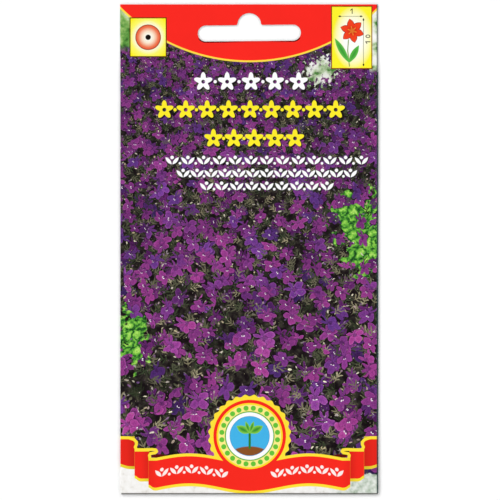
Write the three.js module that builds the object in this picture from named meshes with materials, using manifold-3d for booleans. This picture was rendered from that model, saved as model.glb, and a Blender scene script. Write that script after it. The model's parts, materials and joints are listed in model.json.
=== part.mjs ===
// A closed flower seed packet, lying on its back: a folded paper envelope with a punched hang slot,
// glued shut round a small sachet of dust-fine seed.
// Millimetres. +X is to the right of the front, +Y runs up to the header, +Z is out of the front.
// The origin is the middle of the underside.
import * as THREE from 'three';
import { mergeVertices } from 'three/addons/utils/BufferGeometryUtils.js';
import Module from 'manifold-3d';

// Driving dimensions: the packet
const PACKET_WIDTH = 80;
const PACKET_LENGTH = 152;
const PAPER = 0.15;
const GLUE = 0.05;
const HEADER_LENGTH = 16;
const HEADER_RAMP = 4;
const BULGE = 1.3;

// Driving dimensions: the folds and flaps
const FOLD_GAP = 0.3;
const SIDE_FLAP_WIDTH = 12;
const SIDE_FLAP_SETBACK = 1;
const BOTTOM_FLAP_LENGTH = 12;
const BOTTOM_FLAP_TAPER = 2.5;
const BACK_EDGE_SETBACK = 0.4;
const STEP_SETBACK = 1;
const STEP_RAMP = 2;

// Driving dimensions: the hang slot
const SLOT_WIDTH = 32;
const SLOT_HEIGHT = 5;
const SLOT_HUMP_RADIUS = 3.7;
const SLOT_HUMP_FILLET = 0.6;
const SLOT_DROP = 8.9;
const SLOT_TILT = THREE.MathUtils.degToRad(0.6);

// Driving dimensions: how far each line of glue stays from the edges of the paper that it joins
const SEAM_GLUE_INNER_MARGIN = 1.5;
const SEAM_GLUE_OUTER_MARGIN = 1;
const SEAM_GLUE_END_MARGIN = 1;
const FLAP_GLUE_SIDE_MARGIN = 2.5;
const FLAP_GLUE_FOLD_MARGIN = 2;
const FLAP_GLUE_END_MARGIN = 1.5;
const HEADER_GLUE_SIDE_MARGIN = 2;
const HEADER_GLUE_LOWER_MARGIN = 0.5;
const HEADER_GLUE_LOWER_WIDTH = 3;
const HEADER_GLUE_UPPER_MARGIN = 0.5;
const HEADER_GLUE_UPPER_WIDTH = 1.5;

// Driving dimensions: the sachet and the seed
const SACHET_WIDTH = 48;
const SACHET_LENGTH = 60;
const SACHET_FILM = 0.06;
const SACHET_SEAL = 6;
const SACHET_RISE = 1.05;
const SEED_WIDTH = 24;
const SEED_LENGTH = 34;
const SEED_RISE = 0.65;
const SEED_RIPPLE = 0.05;
const SEED_RIPPLES_ACROSS = 1.7;
const SEED_RIPPLES_ALONG = 1.3;

// How finely the curved shapes are divided
const FRONT_COLUMNS = 18;
const POUCH_ROWS = 20;
const FOLD_SIDES = 6;
const SLOT_SIDES = 8;
const FILM_CELL = 3;
const HEAP_RINGS = 9;
const HEAP_SLICES = 36;

// Levels of the flat sheets above the surface that the packet lies on
const BACK_TOP = PAPER;
const SIDE_FLAP_UNDER = BACK_TOP + GLUE;
const SIDE_FLAP_TOP = SIDE_FLAP_UNDER + PAPER;
const FRONT_UNDER = BACK_TOP + FOLD_GAP;
const FRONT_TOP = FRONT_UNDER + PAPER;
const FLAP_STEP = PAPER + GLUE;
const HEADER_DROP = FOLD_GAP - GLUE;

// Places along and across the packet
const TOP_EDGE = PACKET_LENGTH / 2;
const LEFT_EDGE = -PACKET_WIDTH / 2;
const RIGHT_EDGE = PACKET_WIDTH / 2;
const BOTTOM_FOLD_RADIUS = (FRONT_TOP + FLAP_STEP) / 2;
const BOTTOM_EDGE = -TOP_EDGE + BOTTOM_FOLD_RADIUS;
const BOTTOM_FLAP_END = -TOP_EDGE + BOTTOM_FLAP_LENGTH;
const STEP_START = BOTTOM_FLAP_END + STEP_SETBACK;
const STEP_END = STEP_START + STEP_RAMP;
const HEADER_START = TOP_EDGE - HEADER_LENGTH;
const POUCH_END = HEADER_START - HEADER_RAMP;
const POUCH_MIDDLE = (STEP_END + POUCH_END) / 2;
const SIDE_FLAP_END = POUCH_END - SIDE_FLAP_SETBACK;
const SIDE_FLAP_EDGE = RIGHT_EDGE - SIDE_FLAP_WIDTH;
const BACK_EDGE = RIGHT_EDGE - BACK_EDGE_SETBACK;
const LEFT_FOLD_RADIUS = FRONT_TOP / 2;
const RIGHT_FOLD_RADIUS = (FRONT_TOP - SIDE_FLAP_UNDER) / 2;
const FRONT_LEFT = LEFT_EDGE + LEFT_FOLD_RADIUS;
const FRONT_RIGHT = RIGHT_EDGE - RIGHT_FOLD_RADIUS;
const FOLD_OVERLAP = 0.5;

// Sheets this near the front's level, as a share of the way up from the back, swell with it
const FRONT_SHARE = 0.99;
const MERGE_DISTANCE = 1e-5;
const QUARTER = Math.PI / 2;

const printed = new THREE.MeshStandardMaterial({ color: 0x6b2f86, roughness: 0.4, metalness: 0 });
const glue = new THREE.MeshStandardMaterial({ color: 0xe9e2c8, roughness: 0.3, metalness: 0 });
const film = new THREE.MeshStandardMaterial({ color: 0xf6f5f0, roughness: 0.35, metalness: 0 });
const seed = new THREE.MeshStandardMaterial({ color: 0x6b4426, roughness: 0.7, metalness: 0 });

const wasm = await Module();
wasm.setup();

// Numbers spread evenly from one value to another, both included.
function spread(from, to, count) {
  return Array.from({ length: count + 1 }, (_, i) => from + ((to - from) * i) / count);
}

// 0 up to one value, 1 from another on, a straight ramp between them.
function ramp(value, from, to) {
  return THREE.MathUtils.clamp((value - from) / (to - from), 0, 1);
}

// Moves every vertex of a geometry to where a function of x, y and z puts it.
function reshape(geometry, place) {
  const position = geometry.attributes.position;
  for (let i = 0; i < position.count; i++) {
    const [x, y, z] = place(position.getX(i), position.getY(i), position.getZ(i));
    position.setXYZ(i, x, y, z);
  }
  return geometry;
}

function toSolid(geometry) {
  const bare = geometry.clone();
  bare.deleteAttribute('normal');
  bare.deleteAttribute('uv');
  const merged = mergeVertices(bare, MERGE_DISTANCE);
  return new wasm.Manifold(new wasm.Mesh({
    numProp: 3,
    vertProperties: new Float32Array(merged.attributes.position.array),
    triVerts: new Uint32Array(merged.index.array),
  }));
}

function toGeometry(solid) {
  const mesh = solid.getMesh();
  const geometry = new THREE.BufferGeometry();
  geometry.setAttribute('position', new THREE.BufferAttribute(mesh.vertProperties, 3));
  geometry.setIndex(new THREE.BufferAttribute(mesh.triVerts, 1));
  geometry.computeVertexNormals();
  return geometry;
}

// How far the paper swells over the sachet, at a point of the front.
function swell(x, y) {
  const across = 1 - (x / FRONT_RIGHT) ** 2;
  const along = 1 - ((y - POUCH_MIDDLE) / (POUCH_END - POUCH_MIDDLE)) ** 2;
  return BULGE * Math.max(across, 0) * Math.max(along, 0);
}

// The packet's lie: a sheet at one flat level is lifted over the bottom flap, swells where it is the
// front, and comes down to the back where the header is glued.
function lie(x, y, z) {
  const front = ramp(z, BACK_TOP, FRONT_UNDER);
  const overFlap = FLAP_STEP * (1 - ramp(y, STEP_START, STEP_END));
  const header = HEADER_DROP * ramp(y, POUCH_END, HEADER_START);
  const swelling = front > FRONT_SHARE ? swell(x, y) : 0;
  return [x, y, z + overFlap + swelling - front * header];
}

// Pulls a section drawn in x and z along y, with one row of vertices at each given place.
function pullAlongY(section, rows) {
  const last = rows.length - 1;
  const geometry = new THREE.ExtrudeGeometry(section, {
    depth: last,
    steps: last,
    bevelEnabled: false,
    curveSegments: FOLD_SIDES,
  });
  geometry.rotateX(QUARTER);
  return reshape(geometry, (x, y, z) => [x, rows[last + Math.round(y)], z]);
}

const POUCH_PLACES = spread(STEP_END, POUCH_END, POUCH_ROWS);
const FRONT_PLACES = [FRONT_LEFT, ...spread(FRONT_LEFT + FOLD_OVERLAP, FRONT_RIGHT - FOLD_OVERLAP,
  FRONT_COLUMNS), FRONT_RIGHT];

// The back, the left fold and the front, in one run of paper.
function frontAndBack() {
  const section = new THREE.Shape();
  const foldMiddle = FRONT_TOP / 2;
  section.moveTo(BACK_EDGE, BACK_TOP);
  section.lineTo(FRONT_LEFT, BACK_TOP);
  section.absarc(FRONT_LEFT, foldMiddle, LEFT_FOLD_RADIUS - PAPER, -QUARTER, QUARTER, true);
  FRONT_PLACES.slice(1).forEach((x) => section.lineTo(x, FRONT_UNDER));
  [...FRONT_PLACES].reverse().forEach((x) => section.lineTo(x, FRONT_TOP));
  section.absarc(FRONT_LEFT, foldMiddle, LEFT_FOLD_RADIUS, QUARTER, -QUARTER, false);
  section.lineTo(BACK_EDGE, 0);
  section.closePath();
  const rows = [BOTTOM_EDGE, STEP_START, ...POUCH_PLACES, HEADER_START, TOP_EDGE];
  return toSolid(reshape(pullAlongY(section, rows), lie));
}

// The right fold and the flap that it tucks inside, over the free edge of the back.
function sideFlap() {
  const section = new THREE.Shape();
  const frontEnd = FRONT_RIGHT - FOLD_OVERLAP;
  const foldMiddle = (FRONT_TOP + SIDE_FLAP_UNDER) / 2;
  section.moveTo(frontEnd, FRONT_TOP);
  section.lineTo(frontEnd, FRONT_UNDER);
  section.lineTo(FRONT_RIGHT, FRONT_UNDER);
  section.absarc(FRONT_RIGHT, foldMiddle, RIGHT_FOLD_RADIUS - PAPER, QUARTER, -QUARTER, true);
  section.lineTo(SIDE_FLAP_EDGE, SIDE_FLAP_TOP);
  section.lineTo(SIDE_FLAP_EDGE, SIDE_FLAP_UNDER);
  section.lineTo(FRONT_RIGHT, SIDE_FLAP_UNDER);
  section.absarc(FRONT_RIGHT, foldMiddle, RIGHT_FOLD_RADIUS, -QUARTER, QUARTER, false);
  section.closePath();
  const rows = [BOTTOM_EDGE, STEP_START, ...POUCH_PLACES.slice(0, -1), SIDE_FLAP_END];
  return toSolid(reshape(pullAlongY(section, rows), lie));
}

// The bottom fold, and the tapered flap that it brings round under the back.
function bottomFlap() {
  const frontUnder = FRONT_UNDER + FLAP_STEP;
  const frontTop = FRONT_TOP + FLAP_STEP;
  const foldEnd = BOTTOM_EDGE + FOLD_OVERLAP;
  const innerRadius = BOTTOM_FOLD_RADIUS - PAPER;
  const section = new THREE.Shape();
  section.moveTo(foldEnd, 0);
  section.lineTo(foldEnd, PAPER);
  section.lineTo(BOTTOM_EDGE, PAPER);
  section.absarc(BOTTOM_EDGE, frontTop / 2, innerRadius, -QUARTER, -3 * QUARTER, true);
  section.lineTo(foldEnd, frontUnder);
  section.lineTo(foldEnd, frontTop);
  section.lineTo(BOTTOM_EDGE, frontTop);
  section.absarc(BOTTOM_EDGE, frontTop / 2, BOTTOM_FOLD_RADIUS, -3 * QUARTER, -QUARTER, false);
  section.closePath();
  const fold = new THREE.ExtrudeGeometry(section, {
    depth: FRONT_RIGHT - FRONT_LEFT,
    bevelEnabled: false,
    curveSegments: FOLD_SIDES,
  });
  reshape(fold, (y, z, depth) => [FRONT_LEFT + depth, y, z]);

  const outline = new THREE.Shape();
  outline.moveTo(FRONT_LEFT, BOTTOM_EDGE);
  outline.lineTo(FRONT_RIGHT, BOTTOM_EDGE);
  outline.lineTo(FRONT_RIGHT - BOTTOM_FLAP_TAPER, BOTTOM_FLAP_END);
  outline.lineTo(FRONT_LEFT + BOTTOM_FLAP_TAPER, BOTTOM_FLAP_END);
  outline.closePath();
  const flap = new THREE.ExtrudeGeometry(outline, { depth: PAPER, bevelEnabled: false });
  return toSolid(fold).add(toSolid(flap));
}

// A long bar with round ends and a half-round hump in the middle of its upper side.
function hangSlot() {
  const half = SLOT_HEIGHT / 2;
  const endCentre = SLOT_WIDTH / 2 - half;
  const filletCentre = Math.sqrt((SLOT_HUMP_RADIUS + SLOT_HUMP_FILLET) ** 2 - SLOT_HUMP_FILLET ** 2);
  const filletTurn = Math.atan2(SLOT_HUMP_FILLET, filletCentre);
  const filletLevel = half + SLOT_HUMP_FILLET;
  const outline = new THREE.Shape();
  outline.absarc(endCentre, 0, half, -QUARTER, QUARTER, false);
  outline.absarc(filletCentre, filletLevel, SLOT_HUMP_FILLET, -QUARTER, filletTurn - Math.PI, true);
  outline.absarc(0, half, SLOT_HUMP_RADIUS, filletTurn, Math.PI - filletTurn, false);
  outline.absarc(-filletCentre, filletLevel, SLOT_HUMP_FILLET, -filletTurn, -QUARTER, true);
  outline.absarc(-endCentre, 0, half, QUARTER, 3 * QUARTER, false);
  outline.closePath();
  const depth = 2 * (FRONT_TOP + BULGE);
  const punch = new THREE.ExtrudeGeometry(outline, { depth, bevelEnabled: false, curveSegments: SLOT_SIDES });
  punch.translate(0, 0, -depth / 2);
  punch.rotateZ(SLOT_TILT);
  punch.translate(0, TOP_EDGE - SLOT_DROP, 0);
  return toSolid(punch);
}

// A flat-sided block between two corners.
function block([x0, y0, z0], [x1, y1, z1]) {
  const geometry = new THREE.BoxGeometry(x1 - x0, y1 - y0, z1 - z0);
  return geometry.translate((x0 + x1) / 2, (y0 + y1) / 2, (z0 + z1) / 2);
}

function envelope() {
  const sheet = frontAndBack().add(sideFlap()).add(bottomFlap());
  return toGeometry(sheet.subtract(hangSlot()));
}

function sideSeamGlue() {
  const inner = SIDE_FLAP_EDGE + SEAM_GLUE_INNER_MARGIN;
  const outer = BACK_EDGE - SEAM_GLUE_OUTER_MARGIN;
  const low = STEP_END + SEAM_GLUE_END_MARGIN;
  const high = SIDE_FLAP_END - SEAM_GLUE_END_MARGIN;
  return block([inner, low, BACK_TOP], [outer, high, SIDE_FLAP_UNDER]);
}

function bottomFlapGlue() {
  const side = RIGHT_EDGE - BOTTOM_FLAP_TAPER - FLAP_GLUE_SIDE_MARGIN;
  const low = BOTTOM_EDGE + FLAP_GLUE_FOLD_MARGIN;
  const high = BOTTOM_FLAP_END - FLAP_GLUE_END_MARGIN;
  return block([-side, low, PAPER], [side, high, FLAP_STEP]);
}

// A strip of glue across the header, between the front and the back.
function headerGlue(low, width) {
  const side = RIGHT_EDGE - HEADER_GLUE_SIDE_MARGIN;
  return block([-side, low, BACK_TOP], [side, low + width, BACK_TOP + GLUE]);
}

function sachetBackFilm() {
  return block([-SACHET_WIDTH / 2, POUCH_MIDDLE - SACHET_LENGTH / 2, BACK_TOP],
    [SACHET_WIDTH / 2, POUCH_MIDDLE + SACHET_LENGTH / 2, BACK_TOP + SACHET_FILM]);
}

// The front film lies flat on its seal and rises over the seed inside it.
function sachetFrontFilm() {
  const geometry = new THREE.BoxGeometry(SACHET_WIDTH, SACHET_LENGTH, SACHET_FILM,
    SACHET_WIDTH / FILM_CELL, SACHET_LENGTH / FILM_CELL, 1);
  const halfWidth = SACHET_WIDTH / 2 - SACHET_SEAL;
  const halfLength = SACHET_LENGTH / 2 - SACHET_SEAL;
  geometry.translate(0, 0, BACK_TOP + SACHET_FILM + SACHET_FILM / 2);
  return reshape(geometry, (x, y, z) => {
    const across = Math.max(1 - (x / halfWidth) ** 2, 0);
    const along = Math.max(1 - (y / halfLength) ** 2, 0);
    return [x, y + POUCH_MIDDLE, z + SACHET_RISE * Math.sqrt(across * along)];
  });
}

// The seed lies in one low heap with a rippled top and a flat underside.
function seedHeap() {
  const profile = spread(0, QUARTER, HEAP_RINGS).map((angle) => (
    new THREE.Vector2(Math.cos(angle) * SEED_WIDTH / 2, Math.sin(angle) * SEED_RISE)
  ));
  const geometry = new THREE.LatheGeometry([new THREE.Vector2(0, 0), ...profile], HEAP_SLICES);
  geometry.rotateX(QUARTER);
  return toGeometry(toSolid(reshape(geometry, (x, y, z) => {
    const waves = Math.sin(x * SEED_RIPPLES_ACROSS) * Math.cos(y * SEED_RIPPLES_ALONG);
    const ripple = SEED_RIPPLE * waves * ramp(z, 0, SEED_RISE / 2);
    return [x, y * SEED_LENGTH / SEED_WIDTH + POUCH_MIDDLE, BACK_TOP + SACHET_FILM + z + ripple];
  })));
}

const packet = new THREE.Group();

function addPiece(name, geometry, material) {
  const piece = new THREE.Mesh(geometry, material);
  piece.name = name;
  packet.add(piece);
}

const lowerGlueStart = HEADER_START + HEADER_GLUE_LOWER_MARGIN;
const upperGlueStart = TOP_EDGE - HEADER_GLUE_UPPER_MARGIN - HEADER_GLUE_UPPER_WIDTH;

addPiece('envelope', envelope(), printed);
addPiece('side_seam_glue', sideSeamGlue(), glue);
addPiece('bottom_flap_glue', bottomFlapGlue(), glue);
addPiece('header_glue_lower', headerGlue(lowerGlueStart, HEADER_GLUE_LOWER_WIDTH), glue);
addPiece('header_glue_upper', headerGlue(upperGlueStart, HEADER_GLUE_UPPER_WIDTH), glue);
addPiece('sachet_back_film', sachetBackFilm(), film);
addPiece('sachet_front_film', sachetFrontFilm(), film);
addPiece('seed_heap', seedHeap(), seed);

export default packet;
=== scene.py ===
"""A closed flower seed packet on its back: folded printed paper, glue, an inner sachet and its seed."""
import json
import logging
import math
from collections.abc import Callable, Iterator
from contextlib import contextmanager
from dataclasses import dataclass
from enum import Enum
from functools import reduce

import bmesh
import bpy
from mathutils import Matrix, Vector, noise

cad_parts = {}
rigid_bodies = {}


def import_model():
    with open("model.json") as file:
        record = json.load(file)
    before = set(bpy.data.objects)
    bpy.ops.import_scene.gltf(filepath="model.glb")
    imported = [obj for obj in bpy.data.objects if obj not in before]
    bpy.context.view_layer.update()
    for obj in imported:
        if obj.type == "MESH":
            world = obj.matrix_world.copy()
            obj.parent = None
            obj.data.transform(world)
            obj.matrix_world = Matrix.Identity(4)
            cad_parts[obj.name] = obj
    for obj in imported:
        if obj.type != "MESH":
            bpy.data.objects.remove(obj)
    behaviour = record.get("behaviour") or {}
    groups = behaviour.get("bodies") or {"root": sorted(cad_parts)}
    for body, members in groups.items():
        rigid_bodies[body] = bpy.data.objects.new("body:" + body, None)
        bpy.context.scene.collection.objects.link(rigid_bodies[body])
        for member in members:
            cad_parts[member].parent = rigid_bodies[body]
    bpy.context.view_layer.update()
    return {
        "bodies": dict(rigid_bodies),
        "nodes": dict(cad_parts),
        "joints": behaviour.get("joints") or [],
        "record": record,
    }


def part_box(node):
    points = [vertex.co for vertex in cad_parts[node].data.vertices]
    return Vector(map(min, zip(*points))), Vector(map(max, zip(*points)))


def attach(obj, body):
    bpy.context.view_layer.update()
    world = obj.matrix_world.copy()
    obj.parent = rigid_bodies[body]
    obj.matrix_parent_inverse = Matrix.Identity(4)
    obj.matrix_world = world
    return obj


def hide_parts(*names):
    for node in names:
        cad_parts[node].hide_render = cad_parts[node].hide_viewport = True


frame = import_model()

MM = 0.001
BODY = "root"
SMOOTH_ANGLE = math.radians(35)
log = logging.getLogger("seed_packet")

Socket = bpy.types.NodeSocket
Value = float | tuple | str | Socket


class Slot(Enum):
    """The record's material slots that new pieces use."""

    PRINTED = "printed_paper"
    SACHET = "sachet_paper"
    SEED = "seed"


def ink(code: str) -> tuple[float, float, float, float]:
    """Turns a printer's colour code into the linear colour that a shader takes.

    Args:
        code: six hexadecimal digits, as on a colour chart.

    Returns:
        Red, green, blue and alpha, linear.
    """
    parts = [int(code[i:i + 2], 16) / 255 for i in (0, 2, 4)]
    linear = [p / 12.92 if p <= 0.04045 else ((p + 0.055) / 1.055) ** 2.4 for p in parts]
    return (*linear, 1.0)


class Pen:
    """Draws linked shader nodes into one node tree."""

    def __init__(self, tree: bpy.types.NodeTree) -> None:
        """Keeps the tree that the nodes go into."""
        self.tree = tree

    def node(self, kind: str, **settings: object) -> bpy.types.Node:
        """Adds a node and gives it its settings.

        Args:
            kind: the node's type, without the ShaderNode prefix.
            settings: properties of the node.

        Returns:
            The new node.
        """
        made = self.tree.nodes.new("ShaderNode" + kind)
        for name, value in settings.items():
            setattr(made, name, value)
        return made

    def feed(self, socket: Socket, value: Value | None) -> None:
        """Links a socket to another, or gives it a value of its own.

        Args:
            socket: the input.
            value: an output socket, a number, a vector or a colour's code, or nothing.
        """
        if isinstance(value, Socket):
            self.tree.links.new(value, socket)
        elif value is not None:
            socket.default_value = ink(value) if isinstance(value, str) else value

    def math(self, operation: str, *values: Value) -> Socket:
        """Adds a Math node.

        Args:
            operation: the sum it does.
            values: up to three numbers or sockets.

        Returns:
            The answer.
        """
        made = self.node("Math", operation=operation)
        for socket, value in zip(made.inputs, values):
            self.feed(socket, value)
        return made.outputs[0]

    def vector(self, operation: str, *values: Value) -> Socket:
        """Adds a Vector Math node.

        Args:
            operation: the sum it does.
            values: vectors, or a number where the sum takes one.

        Returns:
            The answer, a number for a length or a distance.
        """
        made = self.node("VectorMath", operation=operation)
        if operation == "SCALE":
            self.feed(made.inputs[0], values[0])
            self.feed(made.inputs["Scale"], values[1])
        else:
            for socket, value in zip(made.inputs, values):
                self.feed(socket, value)
        return made.outputs[1 if operation in ("LENGTH", "DISTANCE", "DOT_PRODUCT") else 0]

    def split(self, place: Socket) -> list[Socket]:
        """Takes a vector apart into x, y and z."""
        made = self.node("SeparateXYZ")
        self.feed(made.inputs[0], place)
        return list(made.outputs)

    def join(self, x: Value, y: Value = 0.0, z: Value = 0.0) -> Socket:
        """Puts x, y and z together into a vector."""
        made = self.node("CombineXYZ")
        for socket, value in zip(made.inputs, (x, y, z)):
            self.feed(socket, value)
        return made.outputs[0]

    def seen_from(self, place: Socket, at: tuple[float, float], turn: float = 0.0,
                  size: tuple[float, float] = (1.0, 1.0)) -> Socket:
        """A place as it is seen from a point.

        Args:
            place: the place.
            at: the point.
            turn: how far the point's own axes are turned, in degrees.
            size: the length of each of its axes.

        Returns:
            The place along the point's own axes.
        """
        made = self.node("Mapping", vector_type="TEXTURE")
        self.feed(made.inputs["Vector"], place)
        made.inputs["Location"].default_value = (*at, 0)
        made.inputs["Rotation"].default_value = (0, 0, math.radians(turn))
        made.inputs["Scale"].default_value = (*size, 1)
        return made.outputs[0]

    def reach(self, place: Socket, at: tuple[float, float], size: tuple[float, float],
              turn: float = 0.0) -> Socket:
        """How far a place is from an ellipse's middle, 1 on its edge."""
        return self.vector("LENGTH", self.seen_from(place, at, turn, size))

    def disc(self, place: Socket, at: tuple[float, float], radius: float) -> Socket:
        """How far a place is outside a circle, less than 0 inside it."""
        return self.minus(self.vector("DISTANCE", place, (*at, 0)), radius)

    def box(self, place: Socket, at: tuple[float, float], half: tuple[float, float]) -> Socket:
        """How far a place is outside a box with two half-widths, less than 0 inside it."""
        x, y, _ = self.split(self.vector("ABSOLUTE", self.seen_from(place, at)))
        return self.most(self.minus(x, half[0]), self.minus(y, half[1]))

    def stroke(self, place: Socket, start: tuple[float, float], end: tuple[float, float],
               width: float, leaf: bool = False) -> Socket:
        """How far a place is outside a stroke between two points, less than 0 inside it.

        Args:
            place: the place.
            start: one end of the stroke.
            end: the other end.
            width: how wide the stroke is.
            leaf: whether it is pointed at both ends, as a leaf is, and not round.

        Returns:
            The distance.
        """
        run = Vector(end) - Vector(start)
        middle = (Vector(end) + Vector(start)) / 2
        x, y, _ = self.split(self.seen_from(place, tuple(middle), math.degrees(math.atan2(run.y, run.x))))
        if leaf:
            along = self.math("DIVIDE", x, run.length / 2)
            belly = self.times(self.minus(1.0, self.times(along, along)), width / 2)
            return self.minus(self.unsigned(y), belly)
        past = self.most(self.minus(self.unsigned(x), run.length / 2), 0.0)
        return self.minus(self.vector("LENGTH", self.join(past, y)), width / 2)

    def cover(self, distance: Socket, soft: float = 0.1) -> Socket:
        """1 where a distance is less than 0, and 0 where it is more, with a soft step."""
        return self.fade(distance, -soft / 2, soft / 2, 1.0, 0.0)

    def stamp(self, under: Value, over: Value, distance: Socket, soft: float = 0.1) -> Socket:
        """Lays a colour where a distance is less than 0."""
        return self.paint(under, over, self.cover(distance, soft))

    def outline(self, distance: Socket, width: float) -> Socket:
        """Turns a shape's distance into that of a line along its edge."""
        return self.minus(self.unsigned(distance), width / 2)

    def fade(self, value: Value, start: Value, end: Value, low: float = 0.0, high: float = 1.0) -> Socket:
        """A smooth step from one value to another.

        Args:
            value: the number that is tested.
            start: where the step starts.
            end: where it ends.
            low: the answer before the step.
            high: the answer after it.

        Returns:
            The answer.
        """
        made = self.node("MapRange", interpolation_type="SMOOTHSTEP")
        for socket, given in zip(made.inputs, (value, start, end, low, high)):
            self.feed(socket, given)
        return made.outputs[0]

    def inside(self, reach: Socket, soft: float) -> Socket:
        """1 where a reach is less than 1, and 0 where it is more, with a soft border."""
        return self.fade(reach, 1 - soft / 2, 1 + soft / 2, 1.0, 0.0)

    def plus(self, *values: Value) -> Socket:
        """The sum of some numbers."""
        return reduce(lambda low, high: self.math("ADD", low, high), values)

    def minus(self, value: Value, taken: Value) -> Socket:
        """One number less another."""
        return self.math("SUBTRACT", value, taken)

    def times(self, *values: Value) -> Socket:
        """The product of some numbers or masks."""
        return reduce(lambda low, high: self.math("MULTIPLY", low, high), values)

    def most(self, *values: Value) -> Socket:
        """The largest of some numbers or masks."""
        return reduce(lambda low, high: self.math("MAXIMUM", low, high), values)

    def least(self, *values: Value) -> Socket:
        """The smallest of some numbers or masks."""
        return reduce(lambda low, high: self.math("MINIMUM", low, high), values)

    def unsigned(self, value: Value) -> Socket:
        """A number without its sign."""
        return self.math("ABSOLUTE", value)

    def less(self, mask: Socket, strength: Value = 1.0) -> Socket:
        """1 where a mask is 0, and less by the strength where it is 1."""
        return self.minus(1.0, self.times(mask, strength))

    def paint(self, under: Value, over: Value, mask: Value) -> Socket:
        """Lays one colour over another.

        Args:
            under: the colour below.
            over: the colour laid on it.
            mask: where it is laid.

        Returns:
            The painted colour.
        """
        made = self.node("Mix", data_type="RGBA", blend_type="MIX")
        self.feed(made.inputs["Factor"], mask)
        self.feed(made.inputs["A"], under)
        self.feed(made.inputs["B"], over)
        return made.outputs["Result"]

    def mix(self, low: Value, high: Value, mask: Value) -> Socket:
        """Goes from one number to another as a mask goes from 0 to 1."""
        made = self.node("Mix", data_type="FLOAT")
        for name, value in (("Factor", mask), ("A", low), ("B", high)):
            self.feed(made.inputs[name], value)
        return made.outputs["Result"]

    def scatter(self, takes: dict[str, Socket], jitter: float) -> tuple[Socket, bpy.types.Node]:
        """Lays a turned lattice of cells over a place.

        Args:
            takes: a layer group's inputs Place, Shift and Angle.
            jitter: how far a cell's own middle strays, in cells.

        Returns:
            The place as seen from its cell's middle, and the cell's dice.
        """
        lattice = self.node("VectorRotate", rotation_type="Z_AXIS")
        self.feed(lattice.inputs["Vector"], self.vector("ADD", takes["Place"], takes["Shift"]))
        self.feed(lattice.inputs["Angle"], takes["Angle"])
        cell = self.vector("FLOOR", lattice.outputs[0])
        dice = self.node("TexWhiteNoise", noise_dimensions="3D")
        self.feed(dice.inputs["Vector"], self.vector("ADD", cell, takes["Shift"]))
        middle = self.vector("ADD", cell, (0.5, 0.5, 0.5))
        nudge = self.vector("MULTIPLY", self.vector("SUBTRACT", dice.outputs["Color"], (0.5, 0.5, 0.5)),
                            (jitter, jitter, 0))
        own = self.vector("SUBTRACT", self.vector("SUBTRACT", lattice.outputs[0], middle), nudge)
        return own, dice

    def lean(self, own: Socket, dice: Socket, turn_range: float, angle: Socket) -> list[Socket]:
        """Turns a place about its cell's middle by a random angle.

        Args:
            own: the place as seen from its cell's middle.
            dice: the cell's random number.
            turn_range: the range of the angle, in radians.
            angle: the lattice's own angle, which is taken off.

        Returns:
            The turned place, across and along.
        """
        turned = self.node("VectorRotate", rotation_type="Z_AXIS")
        self.feed(turned.inputs["Vector"], self.vector("MULTIPLY", own, (1, 1, 0)))
        lean = self.times(self.minus(dice, 0.5), turn_range)
        self.feed(turned.inputs["Angle"], self.minus(lean, angle))
        return self.split(turned.outputs[0])[:2]

    def dim(self, colour: Value, by: Socket) -> Socket:
        """Multiplies a colour by a number."""
        made = self.node("Mix", data_type="RGBA", blend_type="MIX", clamp_factor=False)
        for name, value in (("Factor", by), ("A", (0, 0, 0, 1)), ("B", colour)):
            self.feed(made.inputs[name], value)
        return made.outputs["Result"]

    def after(self, place: Socket, colour: Socket) -> Socket:
        """The same place, but worked out only once a colour is there.

        The renderer has room for few numbers at a time. Each layer's shapes wait in this way until the
        layer below them is painted, so that they don't all need that room together.

        Args:
            place: the place.
            colour: the colour that it waits for.

        Returns:
            The place, moved by less than a millionth of a millimetre.
        """
        made = self.node("VectorMath", operation="MULTIPLY_ADD")
        for socket, value in zip(made.inputs, (colour, (1e-8, 1e-8, 1e-8), place)):
            self.feed(socket, value)
        return made.outputs[0]

    def ramp(self, value: Socket, *stops: tuple[float, str | tuple]) -> Socket:
        """Looks a number up in a row of colours.

        Args:
            value: the number.
            stops: each stop's place and its colour, a code or four numbers.

        Returns:
            The colour.
        """
        made = self.node("ValToRGB")
        elements = made.color_ramp.elements
        while len(elements) < len(stops):
            elements.new(0.5)
        for element, (place, colour) in zip(elements, stops):
            element.position = place
            element.color = ink(colour) if isinstance(colour, str) else colour
        self.feed(made.inputs[0], value)
        return made.outputs["Color"]

    def cloud(self, place: Socket, scale: float, detail: float = 2.0) -> Socket:
        """Soft random cloud, from about 0.3 to 0.7.

        Args:
            place: the place.
            scale: how fine the cloud is.
            detail: how many finer clouds are added.

        Returns:
            The cloud's strength.
        """
        made = self.node("TexNoise", noise_dimensions="2D")
        self.feed(made.inputs["Vector"], place)
        made.inputs["Scale"].default_value = scale
        made.inputs["Detail"].default_value = detail
        return made.outputs[0]

    def waver(self, place: Socket, scale: float, detail: float, strength: float) -> Socket:
        """A cloud that strays to both sides of 0.

        Args:
            place: the place.
            scale: how fine the cloud is.
            detail: how many finer clouds are added.
            strength: multiplies it.

        Returns:
            How far it strays.
        """
        return self.times(self.minus(self.cloud(place, scale, detail), 0.5), strength)

    def sector(self, place: Socket, count: int, first: float) -> Socket:
        """Folds a place about the middle into one of some equal sectors.

        Args:
            place: the place.
            count: the number of sectors.
            first: the turn of the first sector's start, in radians clockwise from across.

        Returns:
            The place in its sector, with the sector's middle line across.
        """
        across, along, _ = self.split(place)
        step = math.tau / count
        turn = self.plus(self.math("ARCTAN2", along, across), first)
        local = self.minus(self.math("FLOORED_MODULO", turn, step), step / 2)
        out = self.vector("LENGTH", place)
        return self.join(self.times(out, self.math("COSINE", local)),
                         self.times(out, self.math("SINE", local)))

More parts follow.
